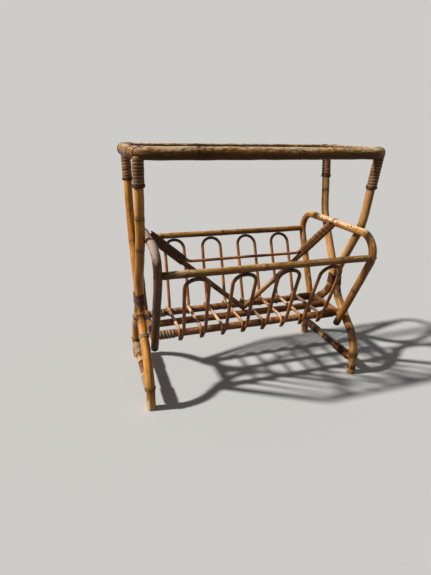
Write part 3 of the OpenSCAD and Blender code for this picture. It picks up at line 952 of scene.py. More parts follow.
@dataclass
class Pole:
    """A rattan pole or cane on its route.

    swell is how far its knuckles stand out. shave is how long its thinned tips are, and tip_share
    the share of the radius that they end with. whittled is how high a knife has flattened the foot.
    cuts is what the start and the end are coped against. inner_shade is the painted shade on the
    side that its bends face.
    """

    route: Route
    radius: float
    knuckles: Sequence[float] = ()
    seed: int = 0
    end_radius: float | None = None
    sides: int = 24
    spacing: float = 4 * MM
    swell: float = 0.45 * MM
    shave: float = 0.0
    tip_share: float = 0.6
    whittled: float = 0.0
    worn: Sequence[Patch] = ()
    dirt_and_shade_patches: Sequence[Patch] = ()
    cuts: Sequence[Sequence[PoleCut | FlatCut]] = ((), ())
    inner_shade: float = 0.0
    closed: bool = False

    # A knuckle, in mm: where the mesh has rings near it, how wide its lip and its scar are, what
    # share of the swelling the scar takes, and how far it lies before the knuckle's middle
    KNUCKLE_STEPS = (-5.0, -3.0, -2.0, -1.4, -1.0, -0.6, -0.3, 0.0, 0.4, 1.0, 2.0, 3.5)
    KNUCKLE_LIP = 2.6
    KNUCKLE_SCAR = 0.55
    SCAR_DEPTH = 0.75
    SCAR_BEFORE = 0.3

    # How far the colour of a scar wanders along the pole, and the distance that stands for none
    SCAR_TILT = 0.6 * MM
    NO_KNUCKLE = 0.2

    # The rounding of the ends, and the stretch over which a cope pulls the mesh
    EDGE = 1.0 * MM
    EDGE_STEPS = (0.0, 0.15, 0.5, 1.0)
    COPE_ZONE = 30 * MM

    # Grown unevenness: wave lengths, sway of the middle line, and shares of the radius
    WAVE_LENGTHS = (0.17, 0.071, 0.043)
    WOBBLE = 0.2 * MM
    OVAL = 0.014
    OVAL_TWIST = 9
    RIPPLE = 0.01

    # A whittled foot: the knife's facets, and the share of their height over which they run out
    KNIFE_FACETS = 7
    KNIFE_RUN_OUT = 0.3

    # The cosine at which the inner side starts, and how much more it takes to be full
    INNER_SIDE = (0.45, 0.3)

    # Keeps the fibres of one pole from repeating on the next
    GRAIN_SHIFT = 3.7

    def nearest_knuckle(self, distance: float) -> float:
        """Distance past the nearest knuckle.

        Args:
            distance: how far along the pole.

        Returns:
            The distance, negative before the knuckle.
        """
        gaps = [distance - k for k in self.knuckles]
        if self.closed:
            gaps = [math.remainder(g, self.route.length) for g in gaps]
        return min(gaps, key=abs, default=self.NO_KNUCKLE)

    def thickness(self, distance: float) -> float:
        """The radius along the pole, with its knuckles, shaving and eased ends.

        Args:
            distance: how far along the pole.

        Returns:
            The radius.
        """
        length = self.route.length
        end_radius = self.radius if self.end_radius is None else self.end_radius
        radius = self.radius + (end_radius - self.radius) * distance / length
        k = self.nearest_knuckle(distance) / MM
        lip = math.exp(-((k / self.KNUCKLE_LIP) ** 2))
        scar = math.exp(-(((k + self.SCAR_BEFORE) / self.KNUCKLE_SCAR) ** 2))
        radius += self.swell * (lip - self.SCAR_DEPTH * scar)
        if self.closed:
            return radius
        edge = min(distance, length - distance)
        if self.shave:
            radius *= min(1.0, self.tip_share + (1 - self.tip_share) * edge / self.shave)
        if edge < self.EDGE:
            sunk = 1 - edge / self.EDGE
            radius -= self.EDGE * (1 - math.sqrt(max(0.0, 1 - sunk * sunk)))
        return radius

    def sheet(self) -> Sheet:
        """The pole's surface.

        Returns:
            Rings of points, with what the finish reads at each point.
        """
        length = self.route.length
        marks = self._marks()
        phase = np.random.default_rng(self.seed).uniform(0, math.tau, 6)
        angles = np.arange(self.sides) * math.tau / self.sides
        ends = [self._cut_ends(angle) for angle in angles]
        waves = [math.tau / w for w in self.WAVE_LENGTHS]
        if self.closed:
            waves = [round(length / w) * math.tau / length for w in self.WAVE_LENGTHS]
        points = np.zeros((len(marks), self.sides, 3))
        grain = np.zeros_like(points)
        knuckle, worn, soil, cut = np.zeros((4, len(marks), self.sides))
        inner = self.INNER_SIDE
        for i, mark in enumerate(marks):
            base = self.thickness(mark)
            sway = [self.WOBBLE * math.sin(mark * waves[n] + phase[n]) for n in (0, 1)]
            ripple = self.RIPPLE * math.sin(mark * waves[2] + phase[3])
            for j, angle in enumerate(angles):
                oval = self.OVAL * math.sin(2 * angle + phase[2] + mark * self.OVAL_TWIST)
                radius = base * (1 + oval + ripple) * self._whittle(mark, angle)
                distance = self._stretched(mark, ends[j])
                spot = self.route.at(distance)
                a, b = radius * math.cos(angle), radius * math.sin(angle)
                points[i, j] = (
                    spot.point + (a + sway[0]) * spot.across + (b + sway[1]) * spot.normal
                )
                grain[i, j] = (a, b, distance + self.GRAIN_SHIFT * self.seed)
                tilted = distance + self.SCAR_TILT * math.sin(angle + phase[4])
                knuckle[i, j] = self.nearest_knuckle(tilted)
                worn[i, j] = sum(p.share(distance) for p in self.worn)
                # Painted shade on the side that the bends face, stored with the stains
                inward = min(1.0, max(0.0, (math.cos(angle) - inner[0]) / inner[1]))
                soil[i, j] = sum(p.share(distance) for p in self.dirt_and_shade_patches) + self.inner_shade * inward
        if not self.closed:
            cut[[0, -1]] = 1.0
        stores = {"grain": grain, "knuckle": knuckle, "worn": worn, "soil": soil, "cut": cut}
        return Sheet(points, stores, self.closed)

    def _marks(self) -> list[float]:
        """Where the rings of the mesh lie along the pole.

        Returns:
            Their distances along the route.
        """
        details = [k + step * MM for k in self.knuckles for step in self.KNUCKLE_STEPS]
        if self.closed:
            return self.route.marks(self.spacing, details)[:-1]
        for step in self.EDGE_STEPS:
            details += [step * self.EDGE, self.route.length - step * self.EDGE]
        return self.route.marks(self.spacing, details)

    def _whittle(self, mark: float, angle: float) -> float:
        """How much a knife has flattened the foot of the pole.

        Args:
            mark: how far along the pole.
            angle: the place round it.

        Returns:
            The share of the radius that is left.
        """
        if not self.whittled or mark > self.whittled:
            return 1.0
        facet = math.tau / self.KNIFE_FACETS
        flat = math.cos(facet / 2) / math.cos(angle % facet - facet / 2)
        run_out = self.KNIFE_RUN_OUT * self.whittled
        return 1 + (flat - 1) * min(1.0, (self.whittled - mark) / run_out)

    def _cut_ends(self, angle: float) -> list[float]:
        """Where a line of points along the pole starts and ends once both ends are coped.

        Args:
            angle: the line's place round the pole.

        Returns:
            The distances of its start and its end.
        """
        ends = [0.0, self.route.length]
        for n, (cuts, sign) in enumerate(zip(self.cuts, (-1, 1))):
            if not cuts:
                continue
            distance = ends[n]
            spot = self.route.at(distance)
            radius = self.thickness(distance + -sign * 2 * self.EDGE)
            side = math.cos(angle) * spot.across + math.sin(angle) * spot.normal
            back = spot.point + radius * side - sign * self.COPE_ZONE * spot.along
            reach = min(c.reach(back, sign * spot.along) for c in cuts) - self.COPE_ZONE
            ends[n] = distance + sign * reach
        return ends

    def _stretched(self, mark: float, ends: Sequence[float]) -> float:
        """Spreads the rings near a coped end over what the cope leaves.

        Args:
            mark: a ring's distance along the route.
            ends: where this line of points starts and ends.

        Returns:
            The distance at which the ring's point lies.
        """
        length = self.route.length
        zone = min(self.COPE_ZONE, length / 3)
        if self.cuts[0] and mark < zone:
            return ends[0] + mark * (zone - ends[0]) / zone
        if self.cuts[1] and mark > length - zone:
            return length - zone + (mark - length + zone) * (ends[1] - length + zone) / zone
        return mark

    def make(self, name: str, finish: Finish) -> bpy.types.Object:
        """The pole as a piece that stands for the CAD node of that name."""
        return self.sheet().mesh(f"{name}_skin", finish, [name])


class Core:
    """One round pole under a winding."""

    def __init__(self, radius: Callable[[float], float]) -> None:
        """Takes the pole's radius as a function of the distance along the route."""
        self.radius = radius

    def rim(self, turn: float, distance: float) -> tuple[np.ndarray, np.ndarray]:
        """A place on the core's outline, in the plane across the route.

        Args:
            turn: how far round, in turns.
            distance: how far along the route.

        Returns:
            The point and the outward direction.
        """
        out = heading_of(turn * math.tau)
        return self.radius(distance) * out, out


class TwinCore(Core):
    """Two round poles side by side under a winding."""

    def __init__(
        self, first: float, second: float, spread: Callable[[float], tuple[float, float]]
    ) -> None:
        """Takes both poles.

        Args:
            first: the radius of the pole that lies lower across the route.
            second: the radius of the other pole.
            spread: where their middles lie across the route at a distance along it.
        """
        self.first = first
        self.second = second
        self.spread = spread

    def rim(self, turn: float, distance: float) -> tuple[np.ndarray, np.ndarray]:
        """A place on the outline of a strand that is pulled tight round both poles.

        Args:
            turn: how far round, in turns.
            distance: how far along the route.

        Returns:
            The point and the outward direction.
        """
        low, high = self.spread(distance)
        gap = high - low
        half = math.acos((self.first - self.second) / gap)
        side = gap * math.sin(half)
        arc, far_arc = self.second * 2 * half, self.first * (math.tau - 2 * half)
        left = turn % 1.0 * (arc + side + far_arc + side)
        if left < arc:
            out = heading_of(left / self.second - half)
            return vec(high, 0) + self.second * out, out
        left -= arc
        if left < side:
            out, share = heading_of(half), left / side
        elif left < side + far_arc:
            out = heading_of(half + (left - side) / self.first)
            return vec(low, 0) + self.first * out, out
        else:
            out, share = heading_of(-half), 1 - (left - side - far_arc) / side
        near, far = vec(high, 0) + self.second * out, vec(low, 0) + self.first * out
        return (1 - share) * near + share * far, out


@dataclass(frozen=True)
class Strand:
    """The section of a flat strand of split cane."""

    width: float = 6.0 * MM
    thick: float = 1.6 * MM

    # Half the upper side: shares of the half width and of the thickness
    CROWN = ((1.0, 0.3), (0.85, 0.62), (0.5, 0.9))

    def profile(self) -> list[tuple[float, float]]:
        """Points round the section.

        Returns:
            For each point, how far it lies across the strand and out from the underside.
        """
        w, t = self.width / 2, self.thick
        rise = [(-a * w, b * t) for a, b in self.CROWN]
        fall = [(a * w, b * t) for a, b in reversed(self.CROWN)]
        return [(-w, 0.0), *rise, (0.0, t), *fall, (w, 0.0)]


@dataclass
class Winding:
    """A strand wound round one or two poles, turn beside turn."""

    route: Route
    core: Core
    start: float
    turns: float
    pitch: float
    strand: Strand = Strand()
    lift: float = GAP / 3
    seed: int = 0
    unrest: float = 0.12

    STEPS_PER_TURN = 28

    # How thick the strand is at its tucked ends, how fast it rises from them per turn, and how
    # loosely it lies, in shares of its thickness
    TUCKED = 0.25
    TUCK_RISE = 4
    LOOSENESS = 0.1

    # Keeps the fibres of one strand from repeating on the next
    GRAIN_SHIFT = 2.3

    def sheet(self) -> Sheet:
        """The wound strand's surface.

        Returns:
            Rows of points along the strand, with what the finish reads at each point.
        """
        rng = np.random.default_rng(self.seed)
        count = int(round(self.turns * self.STEPS_PER_TURN)) + 1
        knots = int(self.turns) + 3
        heights, shifts, tones = (rng.uniform(low, 1, knots) for low in (-1, -1, 0))
        profile = self.strand.profile()
        points = np.zeros((count, len(profile), 3))
        grain = np.zeros_like(points)
        edge, turn = np.zeros((2, count, len(profile)))
        run = 0.0
        for i in range(count):
            f = i / self.STEPS_PER_TURN
            tuck = min(1.0, self.TUCKED + min(f, self.turns - f) * self.TUCK_RISE)
            height, shift, tone = (np.interp(f, range(knots), r) for r in (heights, shifts, tones))
            middle = self.start + self.pitch * (f + 0.5 + self.unrest * shift)
            lifted = self.lift + self.strand.thick * self.LOOSENESS * (1 + height)
            for j, (w, h) in enumerate(profile):
                spot = self.route.at(middle + w)
                rim, out = self.core.rim(f, middle + w)
                flat = rim + out * (lifted + h * tuck)
                points[i, j] = spot.point + flat[0] * spot.across + flat[1] * spot.normal
            if i:
                step = points[i].mean(axis=0) - points[i - 1].mean(axis=0)
                run += float(np.linalg.norm(step))
            for j, (w, h) in enumerate(profile):
                grain[i, j] = (w, h, run + self.GRAIN_SHIFT * self.seed)
                edge[i, j] = abs(w) / (self.strand.width / 2)
                turn[i, j] = tone
        return Sheet(points, {"grain": grain, "edge": edge, "turn": turn})


def join(
    sheets: Sequence[Sheet], name: str, finish: Finish | Sequence[Finish], nodes: Sequence[str]
) -> bpy.types.Object:
    """Makes one piece of several sheets.

    Args:
        sheets: the surfaces of the piece.
        name: the piece's name.
        finish: its finish, or one for each sheet.
        nodes: the CAD nodes that it stands for.

    Returns:
        The piece.
    """
    finishes = [finish] * len(sheets) if isinstance(finish, Finish) else finish
    parts = [
        sheet.mesh(f"{name}_{i}" if i else name, own, nodes if i == 0 else [])
        for i, (sheet, own) in enumerate(zip(sheets, finishes))
    ]
    if len(parts) > 1:
        with bpy.context.temp_override(active_object=parts[0], selected_editable_objects=parts):
            bpy.ops.object.join()
    return parts[0]


def strap_sheet(
    path: Sequence[tuple[np.ndarray, np.ndarray, np.ndarray]], strand: Strand, seed: int
) -> Sheet:
    """The surface of a strand laid along a path.

    Args:
        path: points on the strand's underside, each with the direction away from what it lies on
            and the direction across the strand.
        strand: its section.
        seed: shifts the pattern of its material.

    Returns:
        The surface.
    """
    profile = strand.profile()
    points = np.array([[p + w * side + h * out for w, h in profile] for p, out, side in path])
    middle = points.mean(axis=1)
    run = np.concatenate([[0], np.cumsum(np.linalg.norm(np.diff(middle, axis=0), axis=1))])
    shift = Winding.GRAIN_SHIFT * seed
    grain = np.array([[(w, h, r + shift) for w, h in profile] for r in run])
    edge = np.array([[abs(w) / (strand.width / 2) for w, _ in profile]] * len(path))
    return Sheet(points, {"grain": grain, "edge": edge, "turn": np.full(edge.shape, STRAP_TONE)})


# ---------------------------------------------------------------- The rack


class Corner(Enum):
    """The four corners of the rack, as the signs of X and Y."""

    FRONT_LEFT = (-1, -1)
    FRONT_RIGHT = (1, -1)
    BACK_LEFT = (-1, 1)
    BACK_RIGHT = (1, 1)

    @property
    def label(self) -> str:
        """The corner's part of a node's name."""
        return self.name.lower()


SIDES = {"left": -1, "right": 1}
ROWS = {"front": -1, "back": 1}


@dataclass
class Legs:
    """Four bent legs. Those of one end touch at the waist.

    top_reach is how far a leg's route goes on into the ring.
    """

    frame_len: float = 491 * MM
    foot_spread: float = 227 * MM
    top_spread: float = 193 * MM
    shoulder_spread: float = 152 * MM
    height: float = 500 * MM
    knee_h: float = 84 * MM
    waist_h: float = 198 * MM
    shoulder_h: float = 357 * MM
    foot_d: float = 20 * MM
    top_d: float = 17.6 * MM
    foot_bend: float = 98 * MM
    waist_bend: float = 82 * MM
    shoulder_bend: float = 140 * MM
    top_reach: float = 7 * MM
    whittled: float = 45 * MM

    # Knuckles as shares of the leg's length; wear, stains and painted shadow that only one leg has
    KNUCKLES = {
        Corner.FRONT_LEFT: (0.358, 0.69, 0.808),
        Corner.FRONT_RIGHT: (0.03, 0.36, 0.735),
        Corner.BACK_LEFT: (0.035, 0.365, 0.66),
        Corner.BACK_RIGHT: (0.04, 0.37, 0.67, 0.84),
    }
    WORN = {
        Corner.FRONT_LEFT: (Patch(0.12, 0.09, 0.45), Patch(0.01, 0.04, 1.0)),
        Corner.FRONT_RIGHT: (Patch(0.03, 0.05, 0.45),),
    }
    DIRT_AND_SHADE_PATCHES = {
        Corner.FRONT_LEFT: (Patch(0.206, 0.009, 1.7), Patch(0.223, 0.013, 1.0)),
        # The front right leg's patch at 0.105 m is a painted shadow of the basket
        Corner.FRONT_RIGHT: (Patch(0.105, 0.04, 0.8), Patch(0.019, 0.01, 1.2)),
    }

    def __post_init__(self) -> None:
        """Works out the route that all four legs share."""
        self.x = self.frame_len / 2
        self.foot_y = self.foot_spread / 2
        self.top_y = self.top_spread / 2
        self.waist_r = (self.foot_d + self.top_d) / 4
        self.waist_y = self.waist_r + GAP / 2
        flat = self.route(Corner.BACK_RIGHT)
        bend = flat.runs[3]
        self.waist_s = bend.start + (math.pi / 2 - bend.heading) / bend.bend
        self.waist_z = float(flat.at(self.waist_s).point[2])
        self.length = flat.length - self.top_reach / math.cos(self.lean)

    def _waist_corner(self) -> float:
        """Finds the corner that the waist's bend cuts off.

        Returns:
            The Y at which the bends of an end's two legs just clear each other.
        """
        w = 0.0
        for _ in range(8):
            knee, waist = vec(self.foot_y, self.knee_h), vec(w, self.waist_h)
            shoulder = vec(self.shoulder_spread / 2, self.shoulder_h)
            a, b = unit(knee - waist), unit(shoulder - waist)
            half = math.acos(float(a.dot(b))) / 2
            middle = w + unit(a + b)[0] * self.waist_bend / math.sin(half)
            w += self.waist_y + self.waist_bend - middle
        return w

    @property
    def lean(self) -> float:
        """The lean of a leg's top run from the upright."""
        return math.atan2(self.top_y - self.shoulder_spread / 2, self.height - self.shoulder_h)

    def route(self, corner: Corner) -> Route:
        """The middle line of a leg, from the floor into the ring.

        Args:
            corner: the leg's corner.

        Returns:
            The route, from the floor up.
        """
        sx, sy = corner.value
        plane = Plane(sx * self.x * RIGHT, sy * BACK, UP)
        top = vec(self.top_y, self.height) + self.top_reach * vec(math.tan(self.lean), 1)
        corners = [
            vec(self.foot_y, 0),
            vec(self.foot_y, self.knee_h),
            vec(self._waist_corner(), self.waist_h),
            vec(self.shoulder_spread / 2, self.shoulder_h),
            top,
        ]
        bends = [0, self.foot_bend, self.waist_bend, self.shoulder_bend, 0]
        return Route.through(plane, corners, bends)

    def radius(self, distance: float) -> float:
        """A leg's radius at a distance from the floor along it."""
        return (self.foot_d + (self.top_d - self.foot_d) * distance / self.length) / 2

    def build(self) -> None:
        """Builds the legs."""
        for seed, (corner, knuckles) in enumerate(self.KNUCKLES.items(), 1):
            route = self.route(corner)
            worn = [Patch(0, 0.03, 0.5), Patch(self.length - 0.07, 0.05, 0.3)]
            dirt_and_shade_patches = [Patch(0.05, 0.012, 0.8)]
            if corner is not Corner.FRONT_LEFT:
                dirt_and_shade_patches.append(Patch(self.waist_s - 0.035, 0.02, 0.9))
            Pole(
                route,
                self.foot_d / 2,
                [share * self.length for share in knuckles],
                seed,
                self.radius(route.length),
                worn=[*worn, *self.WORN.get(corner, ())],
                dirt_and_shade_patches=[*dirt_and_shade_patches, *self.DIRT_AND_SHADE_PATCHES.get(corner, ())],
                whittled=self.whittled if corner is Corner.FRONT_LEFT else 0.0,
            ).make(f"leg_{corner.label}", Finish.LEG if corner.value[0] < 0 else Finish.TAN_LEG)


@dataclass
class TopRing:
    """The thick closed ring on top of the legs, and the straps that hold it."""

    legs: Legs
    pole_d: float = 23 * MM
    bend: float = 32 * MM
    shift: float = 1.2 * MM

    # The swing and the slant of each turn of a strap, and how far it runs round from the top
    LOOPS = ((-0.72, 0.15), (-0.19, 0.4))
    LOOP_END = 2.7

    def __post_init__(self) -> None:
        """Works out the ring's half sizes from the legs under its corners."""
        inset = self.bend * (1 - math.cos(math.pi / 4)) - 0.6 * MM
        self.half_x = self.legs.x + inset - self.shift
        self.half_y = self.legs.top_y + inset
        self.radius = self.pole_d / 2
        self.z = self.legs.height + self.radius

    def build(self) -> None:
        """Builds the ring and its straps."""
        side, end = 2 * (self.half_x - self.bend), 2 * (self.half_y - self.bend)
        arc = self.bend * math.pi / 2
        steps = [step for run in (side, end) * 2 for step in ((run, 0.0), (arc, 1 / self.bend))]
        plane = Plane(vec(self.shift, 0, self.z), RIGHT, BACK)
        route = Route(plane, vec(-side / 2, -self.half_y), 0.0, steps)
        back = side + end + 2 * arc
        Pole(
            route,
            self.radius,
            [side * 0.17, side * 0.63, back + side * 0.25, back + side * 0.7],
            11,
            sides=32,
            swell=0.4 * MM,
            worn=[Patch(0.03, 0.06, 0.5), Patch(side * 0.62, 0.1, 0.3), Patch(side, 0.09, 0.35)],
            dirt_and_shade_patches=[Patch(side * 0.2, 0.03, 0.5), Patch(side * 0.75, 0.02, 0.4)],
            # Painted shade on the ring's inner side, where its runs face each other
            inner_shade=1.8,
            closed=True,
        ).make("top_ring", Finish.RING)
        for seed, corner in enumerate(Corner, 31):
            loops = [self._loop(corner, swing, slant, seed) for swing, slant in self.LOOPS]
            node = f"ring_strap_{corner.label}"
            join(loops, f"{node}_strand", Finish.POST_STRAND, [node])

    def _loop(self, corner: Corner, swing: float, slant: float, seed: int) -> Sheet:
        """One turn of strand over the ring.

        Args:
            corner: the ring's corner.
            swing: how far the strand is swung from the corner's diagonal towards its long side.
            slant: how much further it is swung on top of the ring.
            seed: shifts the pattern of its material.

        Returns:
            The strand's surface.
        """
        sx, sy = corner.value
        hub = vec(
            self.shift + sx * (self.half_x - self.bend), sy * (self.half_y - self.bend), self.z
        )
        rim = self.radius + 0.2 * MM
        path = []
        for turn in np.linspace(-self.LOOP_END, self.LOOP_END, 45):
            angle = math.pi / 4 + swing + slant * (1 - math.sin(turn))
            out = vec(sx * math.cos(angle), sy * math.sin(angle), 0)
            away = math.sin(turn) * out + math.cos(turn) * UP
            path.append((hub + self.bend * out + rim * away, away, np.cross(out, UP)))
        return strap_sheet(path, Strand(4.4 * MM, 1.0 * MM), seed)


@dataclass
class Stretchers:
    """The two low stretchers between the feet of each end."""

    legs: Legs
    pole_d: float = 17 * MM
    height: float = 38 * MM

    def build(self) -> None:
        """Builds the stretchers."""
        legs = self.legs
        radius = legs.foot_d / 2 + GAP
        half = legs.foot_y - radius * 0.8
        for seed, (label, sx) in enumerate(SIDES.items(), 21):
            x = sx * legs.x
            Pole(
                Route.straight(vec(x, -half, self.height), vec(x, half, self.height)),
                self.pole_d / 2,
                [half],
                seed,
                cuts=[[PoleCut(vec(x, s * legs.foot_y, 0), UP, radius)] for s in (-1, 1)],
                worn=[Patch(1.18 * half, 0.016, 1.8)],
                dirt_and_shade_patches=[Patch(0.8 * half, 0.03, 0.9), Patch(1.05 * half, 0.012, 1.2)],
            ).make(f"stretcher_{label}", Finish.FLOOR_RAIL)


@dataclass
class Basket:
    """The basket's poles: end hoops, top rails, floor rails and cross rails.

    facet is how much further than its radius the faceted skin of a CAD pole reaches.
    """

    legs: Legs
    strand_t: float = 1.4 * MM
    hoop_d: float = 16.6 * MM
    hoop_top: float = 350 * MM
    hoop_w: float = 294 * MM
    hoop_foot_w: float = 118 * MM
    hoop_foot_h: float = 111 * MM
    hoop_bend: float = 42 * MM
    top_rail_d: float = 14.4 * MM
    top_rail_h: float = 305 * MM
    floor_rail_d: float = 16.5 * MM
    floor_rail_h: float = 140 * MM
    floor_pitch: float = 56 * MM
    cross_rail_d: float = 16 * MM
    right_knuckle_shift: float = 10 * MM
    facet: float = 1.023

    # Knuckles: the hoops' as shares of their length, the rails' in cane pitches from the middle
    HOOP_KNUCKLES = {"left": (0.13, 0.3, 0.64, 0.84), "right": (0.17, 0.83)}
    TOP_RAIL_KNUCKLES = {"front": (-3.7, -0.45, 3.1), "back": (-3.5, -0.2, 1.95)}
    FLOOR_RAILS = {"front": (-1, (-2, 1)), "middle": (0, (-3, 2)), "back": (1, (-1, 3))}

    def __post_init__(self) -> None:
        """Works out where the hoops stand and where the rails meet them."""
        legs = self.legs
        self.hoop_r = self.hoop_d / 2
        self.floor_r = self.floor_rail_d / 2
        leg = legs.route(Corner.BACK_RIGHT)
        self.cross_s = leg.distance_at(self.floor_rail_h, 0, legs.waist_s)
        beside = self.facet * (legs.radius(self.cross_s) + self.hoop_r)
        self.x = legs.x - beside - self.strand_t - 2 * GAP
        top_leg = legs.radius(leg.distance_at(self.hoop_top, legs.waist_s, legs.length))
        self.top_x = legs.x - self.facet * (top_leg + self.hoop_r) - GAP
        self.tilt = math.atan2(self.top_x - self.x, self.hoop_top - self.floor_rail_h)
        self.rail_x = self.x + math.tan(self.tilt) * (self.top_rail_h - self.floor_rail_h)
        self.bend_y = self.hoop_w / 2 - self.hoop_bend
        self.bend_z = self.hoop_top - self.hoop_bend
        reach = vec(self.bend_y - self.hoop_foot_w / 2, self.bend_z - self.hoop_foot_h)
        bent = math.asin(self.hoop_bend / np.linalg.norm(reach))
        self.lean = math.atan2(reach[0], reach[1]) + bent
        route = self.hoop_route(1)
        shoulder = route.runs[1].start + route.runs[1].length
        self.arm_y, self.top_rail_y = (
            float(route.at(route.distance_at(height, 0, shoulder)).point[1])
            for height in (self.floor_rail_h, self.top_rail_h)
        )

    def hoop_route(self, sx: int) -> Route:
        """The middle line of an end hoop.

        Args:
            sx: the sign of its end's X.

        Returns:
            The route, from the foot of the back arm to that of the front arm.
        """
        corner_y = self.hoop_foot_w / 2 + math.tan(self.lean) * (self.hoop_top - self.hoop_foot_h)
        foot = self.hoop_foot_w / 2
        corners = [
            vec(foot, self.hoop_foot_h),
            vec(corner_y, self.hoop_top),
            vec(-corner_y, self.hoop_top),
            vec(-foot, self.hoop_foot_h),
        ]
        plane = self.hoop_plane(sx)
        return Route.through(plane, corners, [0, self.hoop_bend, self.hoop_bend, 0])

    def hoop_plane(self, sx: int) -> Plane:
        """The plane of an end hoop.

        Args:
            sx: the sign of its end's X.

        Returns:
            The plane, which leans out about the floor rails' level.
        """
        up = vec(sx * math.sin(self.tilt), 0, math.cos(self.tilt))
        origin = vec(sx * self.x, 0, self.floor_rail_h) - self.floor_rail_h * up
        return Plane(origin, BACK, up)

    def arm_cut(self, sx: int, sy: int, height: float) -> PoleCut:
        """A hoop's arm, as something to cope a rail against.

        Args:
            sx: the sign of the hoop's X.
            sy: the sign of the arm's Y.
            height: the rail's height.

        Returns:
            The stretch of the arm at that height.
        """
        if height < self.bend_z:
            y = self.arm_y + math.tan(self.lean) * (height - self.floor_rail_h)
        else:
            y = self.top_rail_y
        plane = self.hoop_plane(sx)
        axis = plane.turned(unit(vec(sy * math.sin(self.lean), math.cos(self.lean))))
        return PoleCut(plane.origin + plane.turned(vec(sy * y, height)), axis, self.hoop_r + GAP)

    def build(self) -> None:
        """Builds the basket's poles."""
        for seed, (label, sx) in enumerate(SIDES.items(), 41):
            self._hoop(label, sx, seed)
        for seed, (label, sy) in enumerate(ROWS.items(), 51):
            Pole(
                self._span(self.rail_x, sy * self.top_rail_y, self.top_rail_h),
                self.top_rail_d / 2,
                [self.rail_x + k * CaneWork.pitch for k in self.TOP_RAIL_KNUCKLES[label]],
                seed,
                cuts=[[self.arm_cut(sx, sy, self.top_rail_h)] for sx in (-1, 1)],
                worn=[Patch(0.03, 0.05, 0.5)],
                # The front rail's dark left end is a painted shadow of the left hoop
                dirt_and_shade_patches=[Patch(0.0, 0.06, 1.5)] if sy < 0 else [],
            ).make(f"top_rail_{label}", Finish.TOP_RAIL)
        h, cross_r = self.floor_rail_h, self.cross_rail_d / 2
        for seed, (label, (row, knuckles)) in enumerate(self.FLOOR_RAILS.items(), 61):
            crosses = [PoleCut(vec(sx * self.x, 0, h), BACK, cross_r + GAP) for sx in (-1, 1)]
            arms = [[self.arm_cut(sx, row, h)] if row else [] for sx in (-1, 1)]
            Pole(
                self._span(self.x, row * self.floor_pitch, h),
                self.floor_r,
                [self.x + k * CaneWork.pitch for k in knuckles],
                seed,
                cuts=[[cross, *arm] for cross, arm in zip(crosses, arms)],
                worn=[Patch(0.1, 0.08, 0.3), Patch(0.33, 0.08, 0.4)],
                dirt_and_shade_patches=[Patch(0.01, 0.03, 0.6), Patch(2 * self.x - 0.01, 0.04, 0.6)],
            ).make(f"floor_rail_{label}", Finish.FLOOR_RAIL)
        for seed, (label, sx) in enumerate(SIDES.items(), 71):
            Pole(
                Route.straight(vec(sx * self.x, -self.arm_y, h), vec(sx * self.x, self.arm_y, h)),
                cross_r,
                [1.3 * self.arm_y],
                seed,
                cuts=[[self.arm_cut(sx, sy, h)] for sy in (-1, 1)],
            ).make(f"cross_rail_{label}", Finish.FLOOR_RAIL)

    @staticmethod
    def _span(x: float, y: float, z: float) -> Route:
        """A straight route across the rack, from -x to x."""
        return Route.straight(vec(-x, y, z), vec(x, y, z))

    def _hoop(self, label: str, sx: int, seed: int) -> None:
        """Builds one end hoop.

        Args:
            label: its end.
            sx: the sign of its end's X.
            seed: shifts its pattern.
        """
        route = self.hoop_route(sx)
        end = route.length
        worn = [Patch(end / 2, 0.11, 0.25)]
        dirt_and_shade_patches = [Patch(0, 0.02, 0.6), Patch(end, 0.035, 1.3)]
        if sx < 0:
            worn.append(Patch(end - 0.27, 0.06, 1.0))
            # The last patch below, low on the front arm, is painted shade
            dirt_and_shade_patches += [Patch(end - 0.224, 0.022, 1.1), Patch(end - 0.09, 0.11, 0.75)]
        shift = self.right_knuckle_shift * (sx > 0)
        knuckles = [share * end + shift for share in self.HOOP_KNUCKLES[label]]
        finish = Finish.HOOP if sx > 0 else Finish.GREY_HOOP
        Pole(route, self.hoop_r, knuckles, seed, worn=worn, dirt_and_shade_patches=dirt_and_shade_patches).make(
            f"end_hoop_{label}", finish
        )


